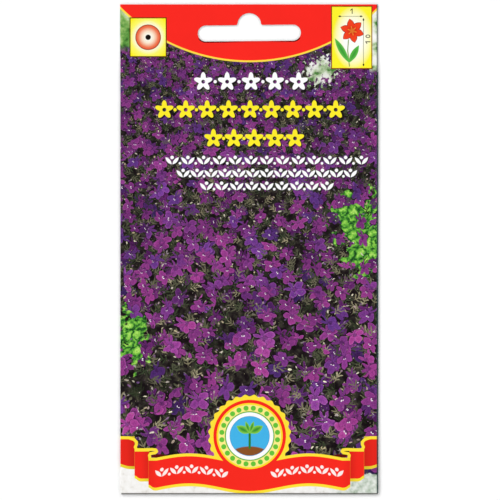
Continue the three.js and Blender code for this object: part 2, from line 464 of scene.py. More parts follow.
    def group(self, tree: bpy.types.NodeTree, **values: Value) -> bpy.types.Node:
        """Places a node group and feeds its inputs by name.

        Args:
            tree: the group.
            values: what its inputs take, with _ for a space.

        Returns:
            The group's node.
        """
        made = self.node("Group", node_tree=tree)
        for name, value in values.items():
            self.feed(made.inputs[name.replace("_", " ")], value)
        return made


def new_group(name: str, takes: dict[str, str], gives: dict[str, str]
              ) -> tuple[bpy.types.NodeTree, Pen, dict[str, Socket], bpy.types.Node]:
    """Starts a shader node group.

    Args:
        name: the group's name.
        takes: its inputs, each with its kind: Float, Vector or Color.
        gives: its outputs, in the same way.

    Returns:
        The group, a pen for it, its inputs by name, and the node that its outputs end in.
    """
    tree = bpy.data.node_groups.new(name, "ShaderNodeTree")
    for way, sockets in (("INPUT", takes), ("OUTPUT", gives)):
        for label, kind in sockets.items():
            tree.interface.new_socket(label, in_out=way, socket_type="NodeSocket" + kind)
    pen = Pen(tree)
    start = tree.nodes.new("NodeGroupInput")
    end = tree.nodes.new("NodeGroupOutput")
    return tree, pen, {s.name: s for s in start.outputs if s.name}, end


@dataclass(frozen=True)
class Bloom:
    """One scattered layer of printed lobelia flowers, a flower to a cell.

    Each flower has three broad lobes below, two narrow ones above and a pale eye. Lengths are in
    parts of a flower's own radius.
    """

    lower: tuple = ((0.0, -0.53), (0.36, 0.43), 0.0)
    side: tuple = ((0.5, -0.1), (0.46, 0.31), -24.0)
    upper: tuple = ((0.21, 0.5), (0.42, 0.14), 64.0)
    throat: tuple = ((0.0, 0.02), (0.24, 0.2), 0.0)
    eye: tuple = ((0.09, -0.13), (0.075, 0.045), 40.0)
    jitter: float = 0.16
    turn_range: float = 3.0
    shadow_reach: float = 1.5
    warm_petals: tuple = ((0.0, "1c0c22"), (0.35, "54205c"), (0.62, "7f357a"),
                          (0.84, "9b3c88"), (1.0, "b04a96"))
    cool_petals: tuple = ((0.0, "140c24"), (0.35, "3a245a"), (0.62, "5c347e"),
                          (0.84, "793e96"), (1.0, "9050a4"))
    widths: tuple[float, float] = (0.72, 1.12)
    heights: tuple[float, float] = (0.66, 1.1)
    skew: float = 0.7
    border: float = 0.14
    cool_from: float = 0.58
    throat_depth: float = 0.5
    eye_border: float = 0.6
    eyeless: tuple[float, float] = (0.35, 0.45)

    def tree(self) -> bpy.types.NodeTree:
        """Draws the layer as a node group.

        Returns:
            The group, which gives each flower's colour, its mask and the shadow that it throws.
        """
        tree, pen, takes, gives = new_group(
            "lobelia layer",
            {"Place": "Vector", "Shift": "Vector", "Angle": "Float", "Fill": "Float", "Size": "Float",
             "Light": "Float"},
            {"Colour": "Color", "Mask": "Float", "Shadow": "Float"})
        own, dice = pen.scatter(takes, self.jitter)
        first, second, third = pen.split(dice.outputs["Color"])
        fourth = dice.outputs["Value"]
        across, along = pen.lean(own, third, self.turn_range, takes["Angle"])
        width = pen.times(takes["Size"], pen.fade(first, 0.0, 1.0, *self.widths))
        height = pen.times(takes["Size"], pen.fade(second, 0.0, 1.0, *self.heights))
        across = pen.plus(across, pen.times(along, self.skew, pen.minus(fourth, 0.5)))
        petal = pen.join(pen.math("DIVIDE", pen.unsigned(across), width), pen.math("DIVIDE", along, height))

        lower, side, upper, throat, eye = (pen.reach(petal, *shape) for shape in
                                           (self.lower, self.side, self.upper, self.throat, self.eye))
        masks = [pen.inside(reach, self.border) for reach in (lower, side, upper, throat)]
        here = pen.math("LESS_THAN", fourth, takes["Fill"])
        nearest = pen.least(lower, side, upper)
        pen.feed(gives.inputs["Mask"], pen.times(pen.most(*masks), here))
        pen.feed(gives.inputs["Shadow"],
                 pen.times(pen.fade(nearest, 0.9, self.shadow_reach, 1.0, 0.0), here))

        side_tone = pen.times(pen.fade(side, 0.0, 1.0, 0.84, 1.0), pen.fade(lower, 1.0, 1.2, 0.6, 1.0))
        upper_tone = pen.fade(side, 1.0, 1.4, 0.55, 0.84)
        lower_tone = pen.fade(lower, 0.1, 1.0, 0.88, 1.03)
        lit = pen.mix(pen.mix(upper_tone, side_tone, masks[1]), lower_tone, masks[0])
        lit = pen.times(lit, pen.fade(fourth, 0.0, 0.85, 0.7, 1.0), takes["Light"])
        warm = pen.ramp(lit, *self.warm_petals)
        cool = pen.ramp(lit, *self.cool_petals)
        colour = pen.paint(warm, cool, pen.fade(second, self.cool_from, 1.0))
        rims = pen.mix(pen.mix(pen.fade(upper, 0.72, 0.95), pen.fade(side, 0.8, 0.96), masks[1]),
                       pen.fade(lower, 0.8, 0.96), masks[0])
        rim = pen.times(rims, pen.fade(first, 0.15, 0.85, 0.08, 0.5), takes["Light"])
        colour = pen.paint(colour, "c070c4", rim)
        colour = pen.paint(colour, "2a0c34", pen.times(masks[3], self.throat_depth))
        dot = pen.times(pen.inside(eye, self.eye_border), pen.fade(third, *self.eyeless))
        pen.feed(gives.inputs["Colour"], pen.paint(colour, "f2e6ee", dot))
        return tree


@dataclass(frozen=True)
class Sprig:
    """One scattered layer of printed sprigs: a thin stem, a leaf on each side and a bud."""

    stem: tuple = ((0.0, 0.0), (0.024, 0.48), 0.0)
    leaf: tuple = ((0.15, 0.03), (0.2, 0.04), 48.0)
    low_leaf: tuple = ((0.12, -0.24), (0.17, 0.035), 38.0)
    bud: tuple = ((0.0, 0.4), (0.055, 0.09), 0.0)
    bend: float = 0.5
    turn_range: float = 3.4
    greens: tuple = ((0.0, "1a1d12"), (0.22, "38432e"), (0.45, "625f4c"),
                     (0.66, "8e866a"), (0.85, "bdb392"), (1.0, "dfd7be"))
    buds: tuple = ((0.0, "b9ad84"), (0.35, "8a6a8c"), (0.65, "553a6c"), (1.0, "e6dfc2"))
    border: float = 0.3
    stem_border: float = 0.8

    def tree(self) -> bpy.types.NodeTree:
        """Draws the layer as a node group.

        Returns:
            The group, which gives the sprigs' colour and their mask.
        """
        tree, pen, takes, gives = new_group(
            "sprig layer",
            {"Place": "Vector", "Shift": "Vector", "Angle": "Float", "Fill": "Float", "Light": "Float"},
            {"Colour": "Color", "Mask": "Float"})
        own, dice = pen.scatter(takes, 0.0)
        first, second, third = pen.split(dice.outputs["Color"])
        across, along = pen.lean(own, third, self.turn_range, takes["Angle"])
        bow = pen.times(pen.times(along, along), pen.times(pen.minus(second, 0.5), 2 * self.bend))
        across = pen.plus(across, bow)
        straight = pen.join(across, along)
        folded = pen.join(pen.unsigned(across), along)
        stem, bud = (pen.reach(straight, *shape) for shape in (self.stem, self.bud))
        leaf, low_leaf = (pen.reach(folded, *shape) for shape in (self.leaf, self.low_leaf))
        leaves = pen.most(pen.inside(leaf, self.border), pen.inside(low_leaf, self.border))
        tip = pen.inside(bud, self.border)
        here = pen.math("LESS_THAN", dice.outputs["Value"], takes["Fill"])
        green = pen.ramp(pen.times(first, takes["Light"]), *self.greens)
        bud_tone = pen.ramp(second, *self.buds)
        colour = pen.paint(green, pen.dim(bud_tone, takes["Light"]), tip)
        pen.feed(gives.inputs["Colour"], colour)
        whole = pen.most(pen.inside(stem, self.stem_border), leaves, tip)
        pen.feed(gives.inputs["Mask"], pen.times(whole, here))
        return tree


@dataclass(frozen=True)
class Fleck:
    """One scattered layer of small light flecks: buds, glints on leaves and far petals."""

    stretch: float = 1.35
    jitter: float = 0.6
    turn_range: float = 6.3
    tones: tuple = ((0.0, "4f5c34"), (0.3, "8c8a5e"), (0.5, "7d4e86"),
                    (0.7, "b7ab84"), (0.9, "d8d2b4"), (1.0, "f4f0ea"))
    radii: tuple[float, float] = (0.08, 0.26)
    border: tuple[float, float] = (0.6, 1.1)

    def tree(self) -> bpy.types.NodeTree:
        """Draws the layer as a node group.

        Returns:
            The group, which gives the flecks' colour and their mask.
        """
        tree, pen, takes, gives = new_group(
            "fleck layer", {"Place": "Vector", "Shift": "Vector", "Angle": "Float", "Fill": "Float"},
            {"Colour": "Color", "Mask": "Float"})
        own, dice = pen.scatter(takes, self.jitter)
        first, second, third = pen.split(dice.outputs["Color"])
        across, along = pen.lean(own, third, self.turn_range, takes["Angle"])
        out = pen.vector("LENGTH", pen.join(pen.times(across, self.stretch), along))
        radius = pen.fade(first, 0.0, 1.0, *self.radii)
        here = pen.math("LESS_THAN", dice.outputs["Value"], takes["Fill"])
        spot = pen.fade(pen.math("DIVIDE", out, radius), *self.border, 1.0, 0.0)
        pen.feed(gives.inputs["Colour"], pen.ramp(second, *self.tones))
        pen.feed(gives.inputs["Mask"], pen.times(spot, here))
        return tree


class Plant(Enum):
    """What one scattered layer of the bed shows."""

    SPRIG = "sprigs"
    BLOOM = "blooms"
    FLECK = "flecks"


@dataclass(frozen=True)
class Bed:
    """What the bed's layers share: the ground in cells, its light, where they may lie, their groups."""

    ground: Socket
    sun: Socket
    free: Socket
    planted: Socket
    trees: dict[Plant, bpy.types.NodeTree]


@dataclass(frozen=True)
class Layer:
    """One scattered layer of the bed. A crowded layer also covers the open ground."""

    plant: Plant
    scale: float
    shift: tuple[float, float, float]
    angle: float
    amount: float
    light: float = 1.0
    size: float = 0.42
    crowded: bool = True
    shadow: float = 0.55

    def draw(self, pen: Pen, bed: Bed, colour: Socket) -> Socket:
        """Paints the layer.

        Args:
            pen: the pen of the print.
            bed: what the layers share.
            colour: the colour under the layer.

        Returns:
            The colour with the layer on it.
        """
        spot = pen.vector("SCALE", pen.after(bed.ground, colour), self.scale)
        layer = pen.group(bed.trees[self.plant], Place=spot, Shift=self.shift, Angle=self.angle)
        room = bed.free if self.crowded else bed.planted
        pen.feed(layer.inputs["Fill"], pen.times(room, self.amount))
        if self.plant is not Plant.FLECK:
            pen.feed(layer.inputs["Light"], pen.times(bed.sun, self.light))
        if self.plant is Plant.BLOOM:
            pen.feed(layer.inputs["Size"], self.size)
            colour = pen.dim(colour, pen.less(layer.outputs["Shadow"], self.shadow))
        return pen.paint(colour, layer.outputs["Colour"], layer.outputs["Mask"])


@dataclass(frozen=True)
class Meadow:
    """The printed bed of lobelia, drawn from the far side to the near side of the picture."""

    horizon: float = 152.0
    near_cells: float = 23.0
    ruffle: float = 0.16
    clumps: tuple = (((36.5, 4.0), (7.5, 12.0), 20.0), ((-37.5, -28.0), (5.5, 8.0), -15.0))
    clump_rough: float = 2.7
    behind: tuple[Layer, ...] = (
        Layer(Plant.SPRIG, 1.5, (3.7, 1.9, 5.0), 0.5, 0.85, 0.7),
        Layer(Plant.BLOOM, 1.05, (0.3, 0.8, 1.0), 0.35, 0.9, 0.46, 0.41),
        Layer(Plant.SPRIG, 1.8, (8.2, 4.4, 9.0), 1.3, 0.8))
    before: tuple[Layer, ...] = (
        Layer(Plant.FLECK, 6.0, (2.2, 3.1, 8.0), 0.2, 0.26),
        Layer(Plant.BLOOM, 1.0, (5.1, 2.6, 2.0), 1.05, 0.85, 0.68, crowded=False),
        Layer(Plant.SPRIG, 1.5, (6.6, 2.9, 4.0), 0.3, 0.6, 1.1),
        Layer(Plant.BLOOM, 1.1, (2.4, 7.7, 3.0), 0.75, 0.85, 0.88, crowded=False),
        Layer(Plant.SPRIG, 1.7, (1.1, 6.3, 7.0), 0.9, 0.5, 1.2),
        Layer(Plant.BLOOM, 0.95, (9.6, 3.2, 4.0), 0.15, 0.85, 0.98, crowded=False),
        Layer(Plant.FLECK, 5.0, (6.4, 1.3, 3.0), 0.7, 0.16),
        Layer(Plant.BLOOM, 1.0, (4.9, 9.1, 6.0), 0.55, 0.62, 1.05, crowded=False))
    soil: tuple = ((0.32, "140d10"), (0.48, "1e1819"), (0.62, "33302a"), (0.78, "56503f"))
    clump_greens: tuple = ((0.0, "1c4a20"), (0.07, "3a7c2e"), (0.2, "67b03c"),
                           (0.36, "92cc52"), (0.55, "b4e070"))
    ruffle_scale: float = 3.2
    sun_rise: tuple = (60.0, -45.0, 0.76, 1.0)
    sun_patches: tuple = (0.3, 0.6, 0.84, 1.04)
    bare_shift: tuple = (31.0, 17.0, 0)
    bare_scale: float = 0.42
    bare_edge: tuple[float, float] = (0.5, 0.62)
    bare_share: float = 0.62
    clump_share: float = 0.8
    clump_cells: tuple = (0.3, 0.36, 0)
    soil_scale: float = 3.6
    grain_scale: float = 2.4
    grain: tuple = (0.25, 0.75, 0.88, 1.28)

    def draw(self, pen: Pen, place: Socket) -> Socket:
        """Paints the bed.

        Args:
            pen: the pen of the print.
            place: the place on the packet's front, in millimetres.

        Returns:
            The bed's colour.
        """
        ground = self.tilt(pen, place)
        wobble = pen.node("TexNoise", noise_dimensions="2D")
        pen.feed(wobble.inputs["Vector"], ground)
        wobble.inputs["Scale"].default_value = self.ruffle_scale
        wobble.inputs["Detail"].default_value = 2.0
        ruffled = pen.vector("ADD", ground, pen.vector(
            "MULTIPLY", pen.vector("SUBTRACT", wobble.outputs["Color"], (0.5, 0.5, 0.5)),
            (self.ruffle, self.ruffle, 0)))

        _, along, _ = pen.split(place)
        patch = pen.cloud(ground, 0.3, 1.0)
        sun = pen.times(pen.fade(along, *self.sun_rise), pen.fade(patch, *self.sun_patches))
        bare = pen.cloud(pen.vector("ADD", ground, self.bare_shift), self.bare_scale, 1.0)
        clump = self.clump(pen, place)
        room = pen.less(clump, self.clump_share)
        fill = pen.times(pen.less(pen.fade(bare, *self.bare_edge), self.bare_share), room)

        colour = pen.ramp(pen.cloud(ruffled, self.soil_scale, 4.0), *self.soil)
        trees = {Plant.SPRIG: Sprig().tree(), Plant.BLOOM: Bloom().tree(), Plant.FLECK: Fleck().tree()}
        bed = Bed(ruffled, sun, room, fill, trees)
        for layer in self.behind:
            colour = layer.draw(pen, bed, colour)
        colour = self.foliage(pen, pen.after(place, colour), colour, clump)
        for layer in self.before:
            colour = layer.draw(pen, bed, colour)
        grain = pen.cloud(pen.after(place, colour), self.grain_scale)
        return pen.dim(colour, pen.fade(grain, *self.grain))

    def tilt(self, pen: Pen, place: Socket) -> Socket:
        """Lays the flat picture down as ground that runs away to the horizon.

        Args:
            pen: the pen of the print.
            place: the place on the packet's front, in millimetres.

        Returns:
            The place on the ground, in cells.
        """
        across, along, _ = pen.split(place)
        depth = pen.minus(self.horizon, along)
        distance = pen.vector("LENGTH", pen.join(across, depth))
        spread = pen.times(pen.math("ARCTAN2", across, depth), self.near_cells)
        rows = pen.times(pen.math("LOGARITHM", distance, math.e), -self.near_cells)
        return pen.join(spread, rows)

    def clump(self, pen: Pen, place: Socket) -> Socket:
        """Where the clumps of bright leaves are, with a ragged edge."""
        ragged = pen.waver(place, 0.22, 3.0, self.clump_rough)
        masks = [pen.inside(pen.plus(pen.reach(place, *shape), ragged), 0.12) for shape in self.clumps]
        return pen.most(*masks)

    def foliage(self, pen: Pen, place: Socket, colour: Socket, clump: Socket) -> Socket:
        """Paints the clumps of broad bright leaves.

        Args:
            pen: the pen of the print.
            place: the place on the packet's front, in millimetres.
            colour: the colour under the leaves.
            clump: where the clumps are.

        Returns:
            The colour with the leaves on it.
        """
        bent = pen.waver(place, 0.5, 2.0, 4.0)
        leaf = pen.node("TexVoronoi", voronoi_dimensions="2D", feature="DISTANCE_TO_EDGE")
        cells = pen.vector("MULTIPLY", pen.vector("ADD", place, pen.join(bent, bent)), self.clump_cells)
        pen.feed(leaf.inputs["Vector"], cells)
        leaf.inputs["Scale"].default_value = 1.0
        tone = pen.plus(leaf.outputs["Distance"], pen.waver(place, 0.9, 2.0, 0.5))
        bright = pen.ramp(tone, *self.clump_greens)
        return pen.paint(colour, bright, clump)


@dataclass(frozen=True)
class Distance:
    """The blurred, bright ground behind the bed, seen at the top corners, and the stone at its foot."""

    leaf_side: float = -36.6
    leaf_foot: float = 61.0
    pale_side: float = 37.6
    pale_foot: float = 54.5
    gap: tuple = ((22.5, 55.5), (5.0, 3.4), 24.0)
    stone_top: float = -67.6
    stone_rough: float = 3.6
    stone_drop: float = 2.6
    leaf_tones: tuple = ((0.3, "24501f"), (0.42, "5a9440"), (0.55, "92bb66"), (0.72, "d2e2b4"))
    pale_tones: tuple = ((0.34, "4a8438"), (0.44, "b6cda2"), (0.56, "ebf0e2"), (0.8, "ffffff"))
    stone_tones: tuple = ((0.2, "dedbd4"), (0.4, "f3f1ed"), (0.7, "fbfaf8"))
    moss_tones: tuple = ((0.25, "8fa38a"), (0.42, "c4cfc1"), (0.58, "dde3da"), (0.75, "eef1ec"))
    gap_rough: float = 3.4
    gap_light: float = 0.9
    moss_side: tuple[float, float] = (22.0, 33.0)
    drop_side: tuple[float, float] = (31.0, 35.0)

    def draw(self, pen: Pen, place: Socket, colour: Socket) -> Socket:
        """Paints the bright corners and the stone over the bed.

        Args:
            pen: the pen of the print.
            place: the place on the packet's front, in millimetres.
            colour: the bed's colour.

        Returns:
            The colour with them on it.
        """
        across, along, _ = pen.split(place)
        blur = pen.cloud(place, 0.28, 3.0)
        leaf = pen.ramp(blur, *self.leaf_tones)
        at_left = pen.times(pen.fade(across, self.leaf_side, self.leaf_side + 1.5, 1.0, 0.0),
                            pen.fade(along, self.leaf_foot, self.leaf_foot + 2.5))
        colour = pen.paint(colour, leaf, at_left)
        pale = pen.ramp(blur, *self.pale_tones)
        gap = pen.plus(pen.reach(place, *self.gap), pen.waver(place, 0.9, 3.0, self.gap_rough))
        at_right = pen.times(pen.fade(across, self.pale_side - 0.6, self.pale_side),
                             pen.fade(along, self.pale_foot, self.pale_foot + 2.0))
        at_gap = pen.times(pen.inside(gap, 0.4), self.gap_light)
        colour = pen.paint(colour, pale, pen.most(at_right, at_gap))

        grit = pen.cloud(place, 0.55, 5.0)
        stone = pen.ramp(grit, *self.stone_tones)
        moss = pen.ramp(grit, *self.moss_tones)
        stone = pen.paint(stone, moss, pen.fade(across, *self.moss_side))
        foot = pen.plus(along, pen.waver(place, 0.35, 3.0, self.stone_rough))
        foot = pen.plus(foot, pen.fade(across, *self.drop_side, 0.0, self.stone_drop))
        return pen.paint(colour, stone, pen.fade(foot, self.stone_top, self.stone_top + 0.5, 1.0, 0.0))


@dataclass(frozen=True)
class Header:
    """The plain red arch at the top, edged by a thin yellow line, and a painted shadow along the lower edge
    of its slot.
    """

    centre: float = 114.9
    radius: float = 56.3
    line: float = 0.55
    slot_middle: float = 67.1
    slot_half: float = 13.5
    slot_height: float = 5.0
    slot_tilt: float = 0.6
    slot_shadow: float = 0.5
    slot_shadow_middle: float = 2.5
    slot_shadow_depth: tuple = (1.0, 13.0, 0.25, 1.0)
    slot_shadow_top: tuple[float, float] = (-1.9, -1.3)
    slot_shadow_strength: float = 0.92

    def draw(self, pen: Pen, place: Socket, colour: Socket) -> Socket:
        """Paints the arch over the picture, then a painted shadow along the slot's lower edge.

        Args:
            pen: the pen of the print.
            place: the place on the packet's front, in millimetres.
            colour: the picture's colour.

        Returns:
            The colour with the arch on it.
        """
        arch = pen.disc(place, (0, self.centre), self.radius)
        colour = pen.stamp(colour, "ffdf4a", pen.minus(arch, self.line), 0.18)
        colour = pen.stamp(colour, "fb2a22", arch, 0.3)
        # Painted shadow: a dark red-brown band just below the slot, stronger towards its ends, stands in
        # for the shade at the cut.
        slot = pen.seen_from(place, (0, self.slot_middle), self.slot_tilt)
        bar = pen.stroke(slot, (-self.slot_half, 0), (self.slot_half, 0), self.slot_height)
        side, up, _ = pen.split(slot)
        deep = pen.fade(pen.unsigned(pen.minus(side, self.slot_shadow_middle)), *self.slot_shadow_depth)
        slot_shadow = pen.times(pen.fade(bar, self.slot_shadow / 2, self.slot_shadow, 1.0, 0.0), deep,
                        pen.fade(up, *self.slot_shadow_top, 1.0, 0.0))
        return pen.paint(colour, "2e100e", pen.times(slot_shadow, self.slot_shadow_strength))


@dataclass(frozen=True)
class SunSign:
    """The small square sign for a sunny place: a sun in a yellow field."""

    middle: tuple[float, float] = (-31.4, 65.8)
    half: tuple[float, float] = (5.45, 5.85)
    frame: float = 0.32
    sun: float = 3.85
    core: float = 0.84
    field_tones: tuple = ((0.05, "fffbd8"), (0.38, "fffb6a"), (0.85, "fff21c"))
    glow_reach: float = 4.2
    sun_tones: tuple = ((0.2, "fffdf2"), (0.45, "fde9cf"), (0.78, "f2855c"), (1.0, "e8472a"))
    sun_line: float = 0.22

    def draw(self, pen: Pen, place: Socket, colour: Socket) -> Socket:
        """Paints the sign.

        Args:
            pen: the pen of the print.
            place: the place on the packet's front, in millimetres.
            colour: the colour under the sign.

        Returns:
            The colour with the sign on it.
        """
        field = pen.box(place, self.middle, self.half)
        sun = pen.disc(place, self.middle, self.sun)
        glow = pen.ramp(pen.math("DIVIDE", sun, self.glow_reach), *self.field_tones)
        rays = pen.ramp(pen.math("DIVIDE", pen.plus(sun, self.sun), self.sun), *self.sun_tones)
        colour = pen.stamp(colour, "5e3a0e", pen.minus(field, self.frame))
        colour = pen.stamp(colour, glow, field)
        colour = pen.stamp(colour, rays, sun)
        colour = pen.stamp(colour, "8a4a1e", pen.outline(sun, self.sun_line))
        return pen.stamp(colour, "15100c", pen.disc(place, self.middle, self.core), 0.16)


@dataclass(frozen=True)
class SizeSign:
    """The small upright sign for a plant's width and height: a flower, two arrows and plain numbers."""

    middle: tuple[float, float] = (31.75, 65.75)
    half: tuple[float, float] = (6.1, 9.5)
    frame: float = 0.3
    flower: tuple[float, float] = (31.9, 67.8)
    petal: float = 3.75
    petal_width: float = 2.15
    first_petal: float = 42.5
    stem: tuple = (((30.75, 65.0), (30.5, 61.6)), ((30.5, 61.8), (31.05, 56.8)))
    leaves: tuple = (((30.95, 57.9), (26.5, 65.5), 1.9), ((30.9, 57.9), (34.0, 63.3), 1.9))
    arrows: tuple = (((27.6, 72.3), (35.1, 72.3)), ((35.4, 56.8), (35.4, 71.7)))
    digits: tuple = (((31.9, 73.2), (31.9, 74.6)), ((31.4, 74.2), (31.9, 74.6)),
                     ((37.45, 64.4), (36.1, 64.4)), ((36.45, 63.9), (36.1, 64.4)))
    nought: tuple = ((36.78, 66.1), (0.6, 0.42), 0.0)
    field_tones: tuple = ((0.45, "fffffa"), (0.75, "fffcc4"), (1.0, "fff52e"))
    glow: tuple = ((32.2, 65.6), (6.4, 9.9))
    petal_tones: tuple = ((0.1, "c82a14"), (0.5, "f2401f"), (1.0, "f04a26"))
    leaf_tones: tuple = ((0.0, "3f9c3a"), (1.0, "5fbf4a"))
    stem_width: float = 0.3
    arrow_width: float = 0.14
    head_length: float = 0.95
    head_width: float = 0.5
    digit_width: float = 0.26
    nought_width: float = 0.5
    dark: str = "33301c"
    petals: int = 6
    petal_start: float = 0.15
    petal_line: float = 0.16
    stamens: tuple = ((1.35, 0.2, "f5a73a"), (0.75, 0.5, "e0742a"))

    def draw(self, pen: Pen, place: Socket, colour: Socket) -> Socket:
        """Paints the sign.

        Args:
            pen: the pen of the print.
            place: the place on the packet's front, in millimetres.
            colour: the colour under the sign.

        Returns:
            The colour with the sign on it.
        """
        field = pen.box(place, self.middle, self.half)
        glow = pen.ramp(pen.reach(place, *self.glow), *self.field_tones)
        colour = pen.stamp(colour, "8a3a10", pen.minus(field, self.frame))
        colour = pen.stamp(colour, glow, field)
        for start, end in self.stem:
            colour = pen.stamp(colour, "7d9a4a", pen.stroke(place, start, end, self.stem_width))
        for start, end, width in self.leaves:
            leaf = pen.stroke(place, start, end, width, leaf=True)
            green = pen.ramp(pen.fade(leaf, -width / 2, 0.0), *self.leaf_tones)
            colour = pen.stamp(colour, green, leaf)
        colour = self.draw_flower(pen, place, colour)
        for start, end in self.arrows:
            run = (Vector(end) - Vector(start)).normalized() * self.head_length
            colour = pen.stamp(colour, "77744e", pen.stroke(place, start, end, self.arrow_width))
            for tip, back in ((Vector(start), run), (Vector(end), -run)):
                head = pen.stroke(place, tuple(tip), tuple(tip + back), self.head_width, leaf=True)
                colour = pen.stamp(colour, self.dark, head)
        for start, end in self.digits:
            colour = pen.stamp(colour, self.dark, pen.stroke(place, start, end, self.digit_width))
        ring = pen.outline(pen.minus(pen.reach(place, *self.nought), 1.0), self.nought_width)
        return pen.stamp(colour, self.dark, ring, 0.2)

    def draw_flower(self, pen: Pen, place: Socket, colour: Socket) -> Socket:
        """Paints the sign's six-petalled flower.

        Args:
            pen: the pen of the print.
            place: the place on the packet's front, in millimetres.
            colour: the colour under the flower.

        Returns:
            The colour with the flower on it.
        """
        own = pen.seen_from(place, self.flower, self.first_petal)
        folded = pen.sector(own, self.petals, math.pi / self.petals)
        petal = pen.stroke(folded, (self.petal_start, 0.0), (self.petal, 0.0), self.petal_width, leaf=True)
        out = pen.vector("LENGTH", folded)
        red = pen.ramp(pen.math("DIVIDE", out, self.petal), *self.petal_tones)
        colour = pen.stamp(colour, red, petal)
        colour = pen.stamp(colour, "8c1a10", pen.outline(petal, self.petal_line))
        for tip, width, code in self.stamens:
            colour = pen.stamp(colour, code, pen.stroke(folded, (0.0, 0.0), (tip, 0.0), width))
        return colour


class Motif(Enum):
    """What a row of printed ornament repeats."""

    ROSETTE = "rosette"
    LEAVES = "pair of leaves"


@dataclass(frozen=True)
class Garland:
    """A straight row of one small ornament with a dark shadow, where a packet has its title.

    The ornaments themselves are drawn in parts of their own radius.
    """

    middle: tuple[float, float]
    half_length: float
    radius: float
    motif: Motif = Motif.ROSETTE
    code: str = "ffffff"
    shadow: tuple[float, float] = (0.4, -0.4)
    close: float = 2.2
    shade: tuple = ("0c060e", 0.85)
    soft: float = 0.16
    lobes: float = 5.0
    lobe: float = 0.24
    lobe_middle: float = 0.74
    hole: float = 0.2
    dot: float = 0.17
    leaf: tuple = ((0.05, -0.5), (0.98, 0.55), 0.5)
    bud: tuple = ((0, 0.52), 0.26)
    low_dot: tuple = ((0, -0.35), 0.2)
    dot_margin: float = 0.4

    @staticmethod
    def tree(motif: Motif) -> bpy.types.NodeTree:
        """Draws a row of one ornament as a node group.

        Args:
            motif: the ornament.

        Returns:
            The group, which gives the distance outside the ornaments, in their own radii.
        """
        tree, pen, takes, gives = new_group(
            motif.value, {"Place": "Vector", "Pitch": "Float", "Last": "Float"}, {"Distance": "Float"})
        across, along, _ = pen.split(takes["Place"])
        cell = pen.math("ROUND", pen.math("DIVIDE", across, takes["Pitch"]))
        inner = pen.minus(across, pen.times(cell, takes["Pitch"]))
        own = pen.join(inner, along)
        out = pen.vector("LENGTH", own)
        between = pen.join(pen.minus(pen.unsigned(inner), pen.math("DIVIDE", takes["Pitch"], 2.0)), along)
        if motif is Motif.ROSETTE:
            waves = pen.math("COSINE", pen.times(pen.math("ARCTAN2", inner, along), Garland.lobes))
            edge = pen.plus(pen.times(waves, Garland.lobe), Garland.lobe_middle)
            shape = pen.most(pen.minus(out, edge), pen.minus(Garland.hole, out))
            spacer = pen.disc(between, (0, 0), Garland.dot)
        else:
            folded = pen.join(pen.unsigned(inner), along)
            shape = pen.least(pen.stroke(folded, *Garland.leaf, leaf=True), pen.disc(own, *Garland.bud))
            spacer = pen.disc(between, *Garland.low_dot)
        row_end = pen.minus(pen.times(takes["Last"], takes["Pitch"]), Garland.dot_margin)
        past = pen.minus(pen.unsigned(across), row_end)
        spacer = pen.most(spacer, past)
        ends = pen.minus(pen.unsigned(cell), takes["Last"])
        pen.feed(gives.inputs["Distance"], pen.most(pen.least(shape, spacer), ends))
        return tree

    def draw(self, pen: Pen, place: Socket, colour: Socket,
             trees: dict[Motif, bpy.types.NodeTree]) -> Socket:
        """Paints the row and its shadow.

        Args:
            pen: the pen of the print.
            place: the place on the packet's front, in millimetres.
            colour: the colour under the row.
            trees: the node group of each ornament.

        Returns:
            The colour with the row on it.
        """
        pairs = math.floor(self.half_length / (self.close * self.radius))
        pitch = 2 * self.half_length / (2 * pairs + 1) / self.radius
        for shift, over, strength in ((Vector(self.shadow), *self.shade), (Vector((0, 0)), self.code, 1.0)):
            middle = tuple(Vector(self.middle) + shift)
            own = pen.seen_from(place, middle, size=(self.radius, self.radius))
            row = pen.group(trees[self.motif], Place=own, Pitch=pitch, Last=pairs + 0.5)
            mask = pen.cover(row.outputs["Distance"], self.soft / self.radius)
            colour = pen.paint(colour, over, pen.times(mask, strength))
        return colour


